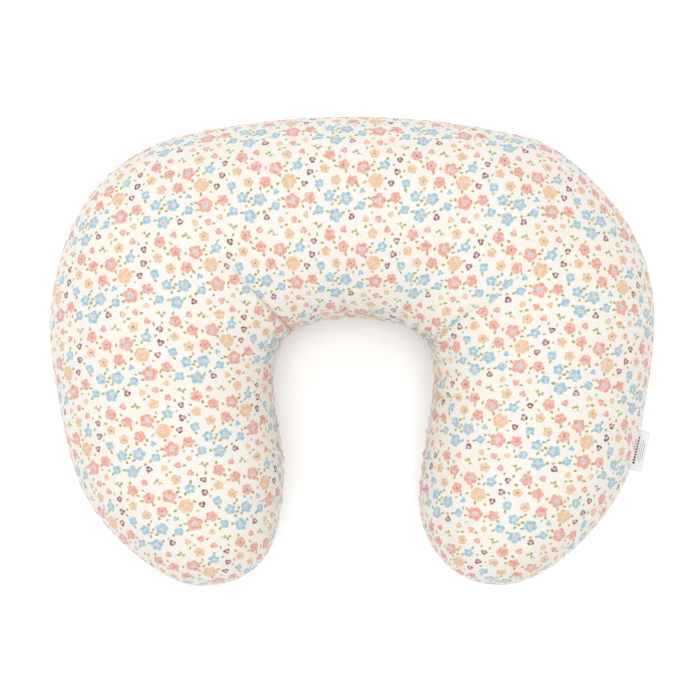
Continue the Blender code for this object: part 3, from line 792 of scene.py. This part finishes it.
def cloth_shell(name, outside, inside, tips_out, tips_in, flat, flat_tips, flip, slot, material,
                creases=None):
    """A closed sheet of cloth between an outer and an inner grid."""
    count, width = outside.shape[:2]
    size = count * width + 2
    points = np.vstack([outside.reshape(-1, 3), tips_out, inside.reshape(-1, 3), tips_in])
    faces = grid_faces(count, width, tips=True, flip=flip)
    faces += [tuple(index + size for index in face[::-1]) for face in faces]
    for j in (0, width - 1):
        rim = [size - 2, *range(j, count * width, width), size - 1]
        for a, b in zip(rim, rim[1:]):
            quad = (a, b, b + size, a + size)
            faces.append(quad[::-1] if (j == 0) == flip else quad)
    layers = {"cut": np.vstack([flat.reshape(-1, 2), flat_tips] * 2)}
    if creases is not None:
        facts = np.vstack([creases.reshape(-1, 4), np.zeros((2, 4))] * 2)
        layers.update(tuck=facts[:, :2], crease=facts[:, 2:])
    return add_mesh(name, points, faces, slot, material, **layers)


def add_cover(cover, material):
    for name, top, seed, shift in COVER_PANELS:
        rows = cover.panel_rows(top)
        outside = seam_shape(cover, rows, seed)
        outside[..., 2] = np.maximum(outside[..., 2], 0.0)
        inside = outside - COVER_CLOTH * rows[..., 3:6]
        inside[..., 2] = np.maximum(inside[..., 2], outside[..., 2].clip(max=COVER_CLOTH))
        lift = np.array([0, 0, SEAM_GAP if top else -SEAM_GAP])
        tips_out = cover.tips + lift - 1.5 * MM * cover.tip_normals
        tips_in = tips_out - COVER_CLOTH * cover.tip_normals + lift
        flat = rows[..., 6:8]
        panel = cloth_shell(name, outside, inside, tips_out, tips_in, flat + shift,
                            cover.flat_tips + shift, not top, "printed_cotton", material,
                            rows[..., 10:])
        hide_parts(f"{name}_panel")


def add_casing(cover, material):
    """The liner under the cover: two panels sewn together at the seam."""
    tips = cover.tips - 4.0 * MM * cover.tip_normals
    for name, top in (("casing_top", True), ("casing_bottom", False)):
        order = cover.across(top)
        normals, flat = cover.normals[::2, order], cover.flat[::2, order]
        depth = np.full(len(order), CASING_DEPTH)
        depth[[0, -1]] += 0.9 * MM
        outside = cover.rings[::2, order] - depth[:, None] * normals
        inside = outside - CASING_CLOTH * normals
        lift = np.array([0, 0, SEAM_GAP if top else -SEAM_GAP])
        outside[:, [0, -1]] += lift
        inside[:, [0, -1]] += lift
        tips_out, tips_in = tips + lift, tips + lift - CASING_CLOTH * cover.tip_normals
        panel = cloth_shell(name, outside, inside, tips_out, tips_in, flat,
                            cover.flat_tips, not top, "casing_cotton", material)
        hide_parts(f"{name}_panel")


def add_casing_ribbon(cover, material):
    """A small ribbon sewn flat into the casing's seam."""
    low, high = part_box("casing_label")
    middle = (np.array(low) + np.array(high)) / 2
    nearest = int(np.argmin(np.linalg.norm(cover.rings[:, -2] - middle, axis=1)))
    span = slice(nearest - 7, nearest + 8)
    seam, band = cover.rings[span, None, 0], cover.rings[span, None, -3]
    ribbon = seam + (band - seam) * np.linspace(0.25, 1.07, 8)[:, None]
    ribbon = ribbon - CASING_LABEL_DEPTH * cover.normals[span, None, -2]
    count, width = ribbon.shape[:2]
    faces = [(a, d, c, b) for a, b, c, d in grid_faces(count, width)]
    label = add_mesh("casing_ribbon", ribbon.reshape(-1, 3), faces, "satin_ribbon", material)
    thicken(label, 0.4 * MM)
    apply_modifiers(label)
    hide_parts("casing_label")


def thicken(item, thickness, offset=-1.0):
    modifier = item.modifiers.new("Thickness", "SOLIDIFY")
    modifier.thickness = thickness
    modifier.offset = offset


def apply_modifiers(item):
    mesh = bpy.data.meshes.new_from_object(item.evaluated_get(
        bpy.context.evaluated_depsgraph_get()))
    item.modifiers.clear()
    item.data = mesh


def add_filling(cover, material):
    rings = cover.rings[::2] - FILL_DEPTH * cover.normals[::2]
    points = np.vstack([rings.reshape(-1, 3), cover.tips - 7 * MM * cover.tip_normals])
    faces = grid_faces(*rings.shape[:2], closed=True, tips=True)
    fill = add_mesh("fibre_filling", points, faces, "polyester_fibre", material)
    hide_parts("fibre_fill")


# ------------------------------------------------------------------ zip

class ZipPlace:
    """Points and frames along the zip: x to the left, y up the band, z outwards."""

    def __init__(self, skin):
        seam, above, below = (skin.rings[skin.middle, k] for k in (0, 3, -3))
        up = Vector(above - below)
        up.x = 0.0
        up.normalize()
        self.centre = Vector((0.0, BACK_TOP - BACK_RADIUS, 0.0))
        self.seat = Vector((0.0, seam[1], seam[2])) - self.centre
        along = Vector((-1, 0, 0))
        self.basis = Matrix((along, up, along.cross(up))).transposed().to_4x4()
        self.radius = self.seat.y

    def frame(self, angle):
        turn = Matrix.Rotation(-angle, 4, "Z")
        return (Matrix.Translation(self.centre) @ turn @ Matrix.Translation(self.seat)
                @ self.basis)

    def point(self, angle, y, z):
        return self.frame(angle) @ Vector((0, y, z))


def tube(path, radius):
    """Points and faces of a round wire along a path."""
    path = np.array(path)
    tangents = unit(np.gradient(path, axis=0))
    upright = abs(tangents[:, 2]).mean() > 0.8
    side = unit(np.cross(tangents, [1.0, 0.0, 0.0] if upright else [0.0, 0.0, 1.0]))
    turns = np.linspace(0, 2 * math.pi, WIRE_SIDES, endpoint=False)[:, None]
    ring = np.cos(turns) * side[:, None] + np.sin(turns) * np.cross(side, tangents)[:, None]
    ring = ring * np.broadcast_to(radius, len(path))[:, None, None]
    points = (path[:, None] + ring).reshape(-1, 3)
    faces = grid_faces(len(path), WIRE_SIDES, closed=True)
    ends = range(WIRE_SIDES)[::-1], range(len(points) - WIRE_SIDES, len(points))
    return points, faces + [tuple(end) for end in ends]


def join_parts(parts):
    points, faces, total = [], [], 0
    for some_points, some_faces in parts:
        points.append(some_points)
        faces += [tuple(index + total for index in face) for face in some_faces]
        total += len(some_points)
    return np.vstack(points), faces


def add_zip(place, tape_material, coil_material):
    reach = ZIP_HALF_ANGLE + TAPE_END / place.radius
    angles = np.linspace(-reach, reach, 160)
    rows = np.linspace(TAPE_EDGE, TAPE_EDGE + TAPE_WIDTH, 14)
    heights = 0.12 * MM * bump(rows - 3.2 * MM, 0.5 * MM) - TAPE_DEPTH
    flat = [(angle * place.radius, y) for angle in angles for y in rows]
    for half, side in (("upper", 1), ("lower", -1)):
        points = [place.point(angle, side * y, z)
                  for angle in angles for y, z in zip(rows, heights)]
        faces = grid_faces(len(angles), len(rows), flip=side < 0)
        tape = add_mesh(f"tape_{half}", points, faces, "zip_tape", tape_material, cut=flat)
        thicken(tape, TAPE_CLOTH)
        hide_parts(f"zipper_tape_{half}")

    turns = 2 * CHAIN_HALF_ANGLE * place.radius / COIL_PITCH
    for half, side in (("upper", 1), ("lower", -1)):
        path = []
        for t in np.arange(0, turns - 1, 1 / COIL_POINTS):
            angle = -CHAIN_HALF_ANGLE + (t + 0.5 + 0.25 * side) * COIL_PITCH / place.radius
            turn = 2 * math.pi * t
            y = side * (COIL_MIDDLE - COIL_HALF_WIDTH * math.cos(turn))
            path.append(place.point(angle, y, COIL_LIFT + COIL_HALF_HEIGHT * math.sin(turn)))
        coil = add_mesh(f"coil_{half}", *tube(path, COIL_WIRE), "nylon_coil", coil_material)
        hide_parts(f"zipper_coil_{half}")


def stitch(place, start, end, y_start, y_end, height, dip=STITCH_DIP):
    """One thread from hole to hole, arched over the cloth."""
    path, radii = [], []
    for share in np.linspace(0, 1, 7):
        arch = math.sin(math.pi * share) ** 0.6
        angle = start + (end - start) * share
        y = y_start + (y_end - y_start) * share
        path.append(place.point(angle, y, -dip + (height + dip) * arch))
        radii.append(THREAD_RADIUS * (0.7 + 0.3 * arch))
    return tube(path, radii)


def add_zip_stitching(place, material):
    """Topstitch rows on both sides of the opening, closed by a bar at each end."""
    threads = []
    pitch = STITCH_PITCH / place.radius
    reach = ZIP_OPENING_HALF + HEM_STITCH
    limit = ZIP_HALF_ANGLE + 1.5 * MM / place.radius
    for side in (1, -1):
        for start in np.arange(-limit, limit - pitch, pitch):
            threads.append(stitch(place, start, start + STITCH_SHARE * pitch, side * reach,
                                  side * reach, 0.05 * MM))
    for end in (-1, 1):
        for y in np.arange(-reach, reach - 2.4 * MM, 2.95 * MM):
            threads.append(stitch(place, end * limit, end * limit, y, y + 2.5 * MM, 0.1 * MM))
        for number in range(12):
            angle = end * (limit - (0.9 + 0.33 * number) * MM / place.radius)
            threads.append(stitch(place, angle, angle + 0.1 * MM / place.radius, -3.4 * MM,
                                  3.4 * MM, 0.5 * MM, 0.5 * MM))
    add_mesh("zip_stitching", *join_parts(threads), "printed_cotton", material)


# ------------------------------------------------------------------ side label

def add_side_label(material):
    """A satin ribbon folded in two, its ends held in the side seam."""
    joint = next(item for item in frame["joints"] if item["name"] == "label_flex")
    hinge = Vector(joint["pos_m"])
    along = -Vector(joint["axis"])
    out = along.cross(Vector((0, 0, 1)))
    bend = LABEL_REACH - LABEL_FOLD
    profile = [(x, LABEL_FOLD) for x in np.linspace(LABEL_TUCK, bend, 14)]
    for turn in np.linspace(80, -80, 7):
        angle = math.radians(turn)
        profile.append((bend + LABEL_FOLD * math.cos(angle), LABEL_FOLD * math.sin(angle)))
    profile += [(x, -LABEL_FOLD) for x in np.linspace(bend, LABEL_TUCK, 14)]
    passed = run_along(np.array(profile))
    rows = np.linspace(-LABEL_LENGTH / 2, LABEL_LENGTH / 2, 33)
    points, flat = [], []
    for y in rows:
        for (x, z), run in zip(profile, passed):
            free = max(x, 0.0) / LABEL_REACH
            curl = LABEL_CURL * free**2 * (abs(y) / (LABEL_LENGTH / 2)) ** 3
            wave = LABEL_WAVE * free * math.sin(y / LABEL_WAVE_RUN)
            droop = -LABEL_DROOP * free**2
            thick = z * (0.45 + 0.55 * min(1.0, free * 3))
            points.append(hinge + out * x + along * y + Vector((0, 0, thick + curl + wave + droop)))
            flat.append((run, y))
    label = add_mesh("ribbon_label", points, grid_faces(len(rows), len(profile)), "satin_ribbon",
                     material, body=None, cut=flat)
    thicken(label, LABEL_CLOTH, 0.0)
    apply_modifiers(label)
    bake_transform(label)
    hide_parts("side_label")


# ------------------------------------------------------------------ shader helpers

def srgb(red, green, blue, share=1.0):
    """A linear colour from 0-255 screen values, times a share."""
    values = [channel / 255 for channel in (red, green, blue)]
    return tuple(share * (v / 12.92 if v <= 0.04045 else ((v + 0.055) / 1.055) ** 2.4)
                 for v in values) + (1.0,)


def dye(red, green, blue):
    """A colour as it shows in bright studio light, as the cloth's own reflectance."""
    return srgb(red, green, blue, CLOTH_REFLECTANCE)


class Shader:
    """A material and short ways to add its nodes; each returns the node's output or outputs."""

    def __init__(self, name, roughness, sheen=0.0, coat=0.0):
        self.material = bpy.data.materials.new(name)
        self.material.use_nodes = True
        self.tree = self.material.node_tree
        self.surface = self.tree.nodes["Principled BSDF"]
        self.surface.inputs["Roughness"].default_value = roughness
        self.surface.inputs["Sheen Weight"].default_value = sheen
        self.surface.inputs["Coat Weight"].default_value = coat

    def node(self, kind, *inputs, **settings):
        item = self.tree.nodes.new(f"ShaderNode{kind}")
        for name, value in settings.items():
            setattr(item, name, value)
        for socket, value in zip(item.inputs, inputs):
            self.feed(socket, value)
        return item

    def feed(self, socket, value):
        if isinstance(value, bpy.types.NodeSocket):
            self.tree.links.new(value, socket)
        elif value is not None:
            socket.default_value = value

    def math(self, operation, *inputs):
        return self.node("Math", *inputs, operation=operation).outputs[0]

    def times(self, *inputs):
        """The product of all inputs."""
        return functools.reduce(lambda a, b: self.math("MULTIPLY", a, b), inputs)

    def clamped(self, value, low, high):
        return self.math("MINIMUM", self.math("MAXIMUM", value, low), high)

    def vector(self, operation, *inputs):
        item = self.node("VectorMath", *inputs, operation=operation)
        return item.outputs["Value" if operation == "LENGTH" else "Vector"]

    def scaled(self, vector, factor):
        return self.vector("SCALE", vector, None, None, factor)

    def parts(self, vector):
        return self.node("SeparateXYZ", vector).outputs

    def joined(self, x, y):
        return self.node("CombineXYZ", x, y).outputs[0]

    def turned_back(self, x, y, turn):
        """The x and y of a place after turning it back by a share of a full turn."""
        angle = self.times(turn, -2 * math.pi)
        return self.parts(self.node("VectorRotate", self.joined(x, y), None, None, angle,
                                    rotation_type="Z_AXIS").outputs[0])

    def mix(self, share, first, second):
        item = self.node("Mix", share, data_type="RGBA")
        self.feed(item.inputs[6], first)
        self.feed(item.inputs[7], second)
        return item.outputs[2]

    def noise(self, vector, scale, detail=2.0):
        return self.node("TexNoise", vector, None, scale, detail)

    def place(self, layer="cut"):
        return self.node("UVMap", uv_map=layer).outputs["UV"]

    def object_place(self):
        return self.node("TexCoord").outputs["Object"]

    def bump(self, height, strength, distance):
        item = self.node("Bump", strength, distance)
        self.feed(item.inputs["Height"], height)
        self.tree.links.new(item.outputs["Normal"], self.surface.inputs["Normal"])

    def paint(self, colour):
        self.feed(self.surface.inputs["Base Color"], colour)
        return self.material

    def table(self, index, rows):
        """A lookup of four numbers by whole index, from 0, as a colour and an alpha."""
        share = self.math("DIVIDE", self.math("ADD", index, 0.5), float(len(rows)))
        item = self.node("ValToRGB", share)
        ramp = item.color_ramp
        ramp.interpolation = "CONSTANT"
        while len(ramp.elements) < len(rows):
            ramp.elements.new(1.0)
        for number, element in enumerate(ramp.elements):
            element.position = number / len(rows)
        for element, row in zip(ramp.elements, rows):
            element.color = row
        return item.outputs

    def facts(self, index, rows):
        """The same lookup, as four separate numbers."""
        colour, alpha = self.table(index, rows)
        return (*self.node("SeparateColor", colour).outputs, alpha)

    def weave(self, place, pitch):
        """Height of a plain weave, threads both ways."""
        x, y, _ = self.parts(self.scaled(place, 2 * math.pi / pitch))
        return self.times(self.math("SINE", x), self.math("SINE", y))


# ------------------------------------------------------------------ floral print

CREAM = dye(252, 247, 240)
# SHADE is not a print colour: it is painted shade for the lines of the sharp tucks
SHADE = dye(190, 140, 104)
LEAF = dye(167, 168, 66)
CORAL = dye(242, 158, 140)
BLUE = dye(142, 199, 219)
PEACH = dye(240, 194, 144)
PLUM = dye(136, 54, 56)
ROSE = dye(247, 176, 172)
MAUVE = dye(150, 98, 122)
SKY = dye(168, 214, 226)
BUTTER = dye(250, 222, 170)

# Kind of motif: how many, petal colour, centre colour, radius, petals, notch, centre share
MOTIFS = (
    (2, CORAL, SKY, 6.5, 5, 0.28, 0.27),
    (1, PEACH, ROSE, 6.5, 6, 0.22, 0.20),
    (2, BLUE, ROSE, 5.9, 5, 0.36, 0.27),
    (4, CORAL, MAUVE, 5.1, 5, 0.30, 0.17),
    (2, BLUE, BUTTER, 4.8, 5, 0.40, 0.22),
    (3, BLUE, ROSE, 4.0, 4, 0.30, 0.22),
    (3, PEACH, MAUVE, 4.5, 5, 0.32, 0.17),
    (4, PLUM, ROSE, 3.1, 3, 0.42, 0.30),
    (3, CORAL, ROSE, 3.0, 3, 0.36, 0.16),
    (2, PEACH, BUTTER, 2.8, 3, 0.36, 0.16),
    (1, BLUE, SKY, 2.7, 3, 0.62, 0.10),
)
SPRIGS = 2
SPRIG_RADIUS = 4.8
REPEAT = (75.0, 69.0)
FLOWER_LEAVES = 31
LEAVES = 54
TABLE_ROWS = 31
INDEX_STEP = 1e-5
MOTIF_GAP = 4.3
SCATTER_TURNS = 700
LEAF_WIDTH = 0.62
STEM_BOW = 40.0
STEM_HALF_WIDTH = 0.26 * MM
PRINT_DRIFT = 2.1 * MM
PRINT_FADE = (1.5, -0.56)
WEAVE_PITCH = 0.62 * MM

# The lookups hold numbers from 0 to 1, as shares of these
LARGEST_FLOWER = 10.0
LONGEST_LEAF = 4.0
MOST_PETALS = 8


def wrapped_gap(a, b):
    gap = np.asarray(a) - np.asarray(b)
    return gap - np.array(REPEAT) * np.round(gap / np.array(REPEAT))


def scatter(radii, random):
    """Evenly spread places for discs of these radii, in the repeat's cell."""
    count = len(radii)
    places = random.uniform(0, 1, (count, 2)) * REPEAT
    reach = radii[:, None] + radii[None] + MOTIF_GAP
    for turn in range(SCATTER_TURNS):
        gap = wrapped_gap(places[:, None], places[None])
        distance = np.linalg.norm(gap, axis=2) + np.eye(count) * 1e3
        push = np.clip(reach / distance - 0.72, 0, 1.5) / distance
        step = (gap * push[..., None]).sum(axis=1)
        places = places + step * 4.0 * (1 - turn / (SCATTER_TURNS + 20))
    return places % REPEAT


def add_leaves(places, radii, stems, random):
    """Leaves at the flowers' edges, on the sprigs and in the gaps: (place, turn, length)."""
    leaves = []

    def off_flowers(spot, slack, skipped=None):
        return all(np.linalg.norm(wrapped_gap(spot, places[i])) - radii[i] > slack
                   for i in range(len(radii)) if i != skipped)

    def off_leaves(spot, slack):
        return all(np.linalg.norm(wrapped_gap(spot, leaf[0])) > slack for leaf in leaves)

    for place, turn in stems:
        along = np.array([math.cos(turn), math.sin(turn)])
        across = np.array([-along[1], along[0]])
        for run, side, lean in ((-1.2, 1.25, 0.9), (1.4, -1.2, -0.8), (3.1, 1.3, 0.9)):
            leaves.append((place + along * run + across * side, turn + lean, 1.7))
    for k in range(len(radii) - len(stems)):
        wanted = 2 if radii[k] > 4.6 else 1
        for turn in random.uniform(0, 2 * math.pi, 40) if radii[k] > 4.0 else ():
            spot = places[k] + (radii[k] + 1.5) * np.array([math.cos(turn), math.sin(turn)])
            if (wanted and len(leaves) < FLOWER_LEAVES
                    and off_flowers(spot, 1.8, k) and off_leaves(spot, 3.6)):
                leaves.append((spot, turn + random.uniform(-0.5, 0.5), 1.95))
                wanted -= 1
    for spot in random.uniform(0, 1, (4000, 2)) * REPEAT:
        if len(leaves) < LEAVES and off_flowers(spot, 1.9) and off_leaves(spot, 3.4):
            leaves.append((spot, random.uniform(0, 2 * math.pi), random.uniform(1.5, 1.95)))
    return leaves


def stamp(shader, place, spots, radii):
    """Offset from the nearest stamped spot in x and y, its index, and 1 inside any stamp."""
    half = [size / 2 * MM for size in REPEAT]
    total = None
    for number, (spot, radius) in enumerate(zip(spots, radii)):
        centre = (spot[0] * MM, spot[1] * MM, -(number + 1) * INDEX_STEP)
        offset = shader.vector("SUBTRACT", place, centre)
        offset = shader.vector("WRAP", offset, (*half, 1.0), (-half[0], -half[1], -1.0))
        inside = shader.math("LESS_THAN", shader.vector("LENGTH", offset), radius * MM)
        kept = shader.scaled(offset, inside)
        total = kept if total is None else shader.vector("ADD", total, kept)
    x, y, steps = shader.parts(total)
    index = shader.math("DIVIDE", steps, INDEX_STEP)
    stamped = shader.math("GREATER_THAN", index, 0.5)
    return x, y, shader.math("ROUND", shader.math("SUBTRACT", index, 1.0)), stamped


def turn_share(angle):
    return (angle / (2 * math.pi)) % 1.0


def leaf_shapes(shader, place, leaves):
    """1 inside any of the leaves: pointed ovals, each with its own turn and length."""
    x, y, number, stamped = stamp(shader, place, [leaf[0] for leaf in leaves],
                                  [1.15 * leaf[2] for leaf in leaves])
    turn, size, _, _ = shader.facts(number, [(turn_share(leaf[1]), leaf[2] / LONGEST_LEAF,
                                              0.0, 1.0) for leaf in leaves])
    along, across, _ = shader.turned_back(x, y, turn)
    length = shader.times(size, LONGEST_LEAF * MM)
    run = shader.math("DIVIDE", along, length)
    rise = shader.math("DIVIDE", shader.math("ABSOLUTE", across), length)
    bulge = shader.math("ADD", rise, shader.times(run, run, LEAF_WIDTH))
    return shader.times(shader.math("LESS_THAN", bulge, LEAF_WIDTH), stamped)


def stem_shapes(shader, place, stems):
    """1 on the bowed stems of the sprigs."""
    x, y, number, stamped = stamp(shader, place, [stem[0] for stem in stems],
                                  [SPRIG_RADIUS] * SPRIGS)
    turn = shader.facts(number, [(turn_share(stem[1]), 0.0, 0.0, 1.0) for stem in stems])[0]
    along, across, _ = shader.turned_back(x, y, turn)
    bow = shader.times(shader.math("POWER", along, 2.0), STEM_BOW)
    off = shader.math("ABSOLUTE", shader.math("SUBTRACT", across, bow))
    return shader.times(shader.math("LESS_THAN", off, STEM_HALF_WIDTH), stamped)


def add_flowers(shader, place, colour, flowers, places):
    """The colour with the flowers on it: lobed petals, a pale ring and a round centre."""
    radii = [flower[0] for flower in flowers]
    x, y, number, stamped = stamp(shader, place, places, radii)
    size, count, start, notch = shader.facts(number, [
        (radius / LARGEST_FLOWER, lobes / MOST_PETALS, start, notch)
        for radius, lobes, start, notch, _, _ in flowers])
    radius = shader.times(size, LARGEST_FLOWER * MM)
    around = shader.math("ADD", shader.math("ARCTAN2", y, x), shader.times(start, 2 * math.pi))
    lobe = shader.math("COSINE", shader.times(around, shader.times(count, MOST_PETALS / 2)))
    lobe = shader.math("POWER", shader.math("ABSOLUTE", lobe), 0.6)
    cut = shader.times(shader.math("SUBTRACT", 1.0, lobe), notch)
    edge = shader.times(radius, shader.math("SUBTRACT", 1.0, cut))
    away = shader.vector("LENGTH", shader.joined(x, y))
    petal = shader.times(shader.math("LESS_THAN", away, edge), stamped)
    petal_colour = shader.table(number, [flower[4] for flower in flowers])["Color"]
    heart, share = shader.table(number, [flower[5] for flower in flowers])
    core = shader.times(radius, share)
    centre = shader.times(shader.math("LESS_THAN", away, core), stamped)
    halo = shader.math("LESS_THAN", away, shader.times(core, 1.45))
    colour = shader.mix(petal, colour, petal_colour)
    colour = shader.mix(shader.times(halo, stamped, 0.38), colour, CREAM)
    return shader.mix(centre, colour, heart)


def cloth_place(shader):
    """Place on the flat cut, shifted on each side of a sharp tuck, and the tuck's line, which
    carries painted shade and a groove bump.
    """
    gap, strength, _ = shader.parts(shader.place("crease"))
    side = shader.math("MINIMUM", shader.math("DIVIDE", gap, CREASE_LINE), 1.0)
    side = shader.math("MAXIMUM", side, -1.0)
    flat = shader.vector("ADD", shader.place(), shader.scaled(shader.place("tuck"), side))
    near = shader.math("DIVIDE", shader.math("ABSOLUTE", gap), -CREASE_LINE)
    return flat, shader.times(shader.math("EXPONENT", near), strength)


def printed_cotton():
    """Cream cotton with a small all-over print of flowers, buds, leaves and sprigs."""
    random = np.random.default_rng(41)
    flowers = []
    for count, petal, centre, radius, lobes, notch, core in MOTIFS:
        for _ in range(count):
            size = radius * random.uniform(0.95, 1.05)
            flowers.append((size, lobes, random.uniform(0, 1), notch, petal,
                            (*centre[:3], core)))
    radii = np.array([flower[0] for flower in flowers] + [SPRIG_RADIUS] * SPRIGS)
    places = scatter(radii, random)
    stems = [(place, random.uniform(0, 2 * math.pi)) for place in places[len(flowers):]]
    leaves = add_leaves(places, radii, stems, random)

    shader = Shader("printed_cotton", 0.85, sheen=0.15)
    flat, near = cloth_place(shader)
    drift = shader.vector("SUBTRACT", shader.noise(flat, 420.0, 1.0).outputs["Color"],
                          (0.5, 0.5, 0.5))
    drift = shader.vector("MULTIPLY", drift, (PRINT_DRIFT, PRINT_DRIFT, 0.0))
    place = shader.vector("ADD", flat, drift)
    green = shader.math("MAXIMUM", leaf_shapes(shader, place, leaves[:TABLE_ROWS]),
                        leaf_shapes(shader, place, leaves[TABLE_ROWS:]))
    green = shader.math("MAXIMUM", green, stem_shapes(shader, place, stems))

    tint = shader.noise(flat, 9.0).outputs["Fac"]
    colour = shader.mix(green, shader.mix(tint, CREAM, dye(248, 242, 232)), LEAF)
    colour = add_flowers(shader, place, colour, flowers, places[:len(flowers)])
    fade = shader.math("MULTIPLY_ADD", shader.noise(flat, 330.0, 2.0).outputs["Fac"], *PRINT_FADE)
    colour = shader.mix(shader.clamped(fade, 0.0, 0.5), colour, CREAM)
    # Painted shade: the colour is darkened towards SHADE along the lines of the sharp tucks
    colour = shader.mix(shader.times(near, 0.75), colour, SHADE)
    slub = shader.noise(flat, 700.0, 3.0).outputs["Fac"]
    height = shader.math("ADD", shader.weave(flat, WEAVE_PITCH), shader.times(slub, 1.6))
    height = shader.math("SUBTRACT", height, shader.times(near, 9.0))
    shader.bump(height, 0.30, 0.09 * MM)
    return shader.paint(colour)


def plain_cloth(name, colour, pitch, roughness=0.85, depth=0.08 * MM, layer="cut"):
    shader = Shader(name, roughness, sheen=0.1)
    place = shader.place(layer) if layer else shader.object_place()
    tone = shader.noise(place, 60.0).outputs["Fac"]
    darker = tuple(channel * 0.93 for channel in colour[:3]) + (1.0,)
    shader.bump(shader.weave(place, pitch), 0.4, depth)
    return shader.paint(shader.mix(tone, colour, darker))


def fibre():
    shader = Shader("polyester_fibre", 0.95, sheen=0.3)
    place = shader.object_place()
    strands = shader.noise(place, 240.0, 6.0)
    strands.inputs["Distortion"].default_value = 2.5
    shader.bump(strands.outputs["Fac"], 0.8, 1.5 * MM)
    return shader.paint(shader.mix(strands.outputs["Fac"], dye(226, 226, 222),
                                   dye(252, 252, 250)))


def glossy(name, colour, roughness, coat=0.0):
    shader = Shader(name, roughness, coat=coat)
    spots = shader.noise(shader.object_place(), 900.0).outputs["Fac"]
    shade = tuple(channel * 0.96 for channel in colour[:3]) + (1.0,)
    return shader.paint(shader.mix(spots, colour, shade))


def label_satin():
    """White satin with a broad broken bar by the seam and thin care lines: no lettering."""
    shader = Shader("satin_ribbon", 0.38, sheen=0.2)
    place = shader.place()
    out, along, _ = shader.parts(place)
    marks = None
    for run, half, reach, pitch, share in LABEL_MARKS:
        band = shader.math("COMPARE", out, run * MM, half * MM)
        within = shader.math("LESS_THAN", shader.math("ABSOLUTE", along), reach * MM)
        beat = shader.math("FRACT", shader.math("DIVIDE", along, pitch * MM))
        mark = shader.times(band, within, shader.math("LESS_THAN", beat, share))
        marks = mark if marks is None else shader.math("MAXIMUM", marks, mark)
    sheen = shader.math("SINE", shader.times(along, 2 * math.pi / (0.5 * MM)))
    shader.bump(sheen, 0.2, 0.04 * MM)
    tone = shader.noise(place, 90.0).outputs["Fac"]
    white = shader.mix(tone, srgb(246, 247, 248, 0.80), srgb(236, 239, 242, 0.80))
    return shader.paint(shader.mix(marks, white, dye(40, 48, 66)))


# ------------------------------------------------------------------ stage

def add_stage():
    floor_mesh = bpy.data.meshes.new("floor")
    size = 30.0
    floor_mesh.from_pydata([(-size, -size, 0), (size, -size, 0), (size, size, 0),
                            (-size, size, 0)], [], [(0, 1, 2, 3)])
    floor = add_object("floor", floor_mesh, (0, 0, -0.2 * MM))
    floor_mesh.materials.append(Shader("floor_paper", 0.9).paint(srgb(255, 255, 255)))

    world = bpy.data.worlds.new("studio")
    bpy.context.scene.world = world
    world.use_nodes = True
    background = world.node_tree.nodes["Background"]
    background.inputs["Color"].default_value = (1.0, 1.0, 1.0, 1.0)
    background.inputs["Strength"].default_value = WORLD_LIGHT
    for name, spot, size, power in LIGHTS:
        light = bpy.data.lights.new(name, "AREA")
        light.shape = "SQUARE"
        light.size = size
        light.energy = power
        lamp = add_object(name, light, spot)
        aim = Vector((0, 0, 0.05)) - Vector(spot)
        lamp.rotation_euler = aim.to_track_quat("-Z", "Y").to_euler()


def add_camera():
    camera = bpy.data.cameras.new("camera")
    camera.sensor_width = 36.0
    camera.lens = 36.0 * CAMERA_DISTANCE / VIEW_WIDTH
    camera.dof.use_dof = False
    place = (*VIEW_CENTRE, WIDEST_HEIGHT + CAMERA_DISTANCE)
    bpy.context.scene.camera = add_object("camera", camera, place)
    settings = bpy.context.scene.view_settings
    settings.view_transform = "Standard"
    settings.look = "None"
    settings.exposure = 0.0
    settings.gamma = 1.0


def finish_metal(material):
    for node in ("zipper_slider", "zipper_pull_tab", "zipper_top_stop_upper",
                 "zipper_top_stop_lower", "zipper_bottom_stop"):
        item = frame["nodes"][node]
        item.data.materials.clear()
        item.data.materials.append(material)


def main():
    skin = Skin()
    cover = Cover(skin, relax_cloth(skin))
    cotton = printed_cotton()
    casing = plain_cloth("casing_cotton", dye(240, 238, 232), 0.8 * MM)
    satin = label_satin()
    add_cover(cover, cotton)
    add_casing(cover, casing)
    add_casing_ribbon(cover, plain_cloth("care_ribbon", dye(244, 244, 244), 0.5 * MM, 0.4,
                                         0.04 * MM, None))
    add_filling(cover, fibre())
    place = ZipPlace(skin)
    add_zip(place, plain_cloth("zip_tape", dye(244, 239, 228), 0.9 * MM, 0.8, 0.12 * MM),
            glossy("nylon_coil", dye(240, 234, 220), 0.38))
    add_zip_stitching(place, plain_cloth("sewing_thread", dye(250, 246, 236), 0.4 * MM, 0.6,
                                         0.05 * MM, None))
    add_side_label(satin)
    finish_metal(glossy("lacquered_zinc", dye(238, 235, 228), 0.32, coat=0.4))
    add_stage()
    add_camera()


main()
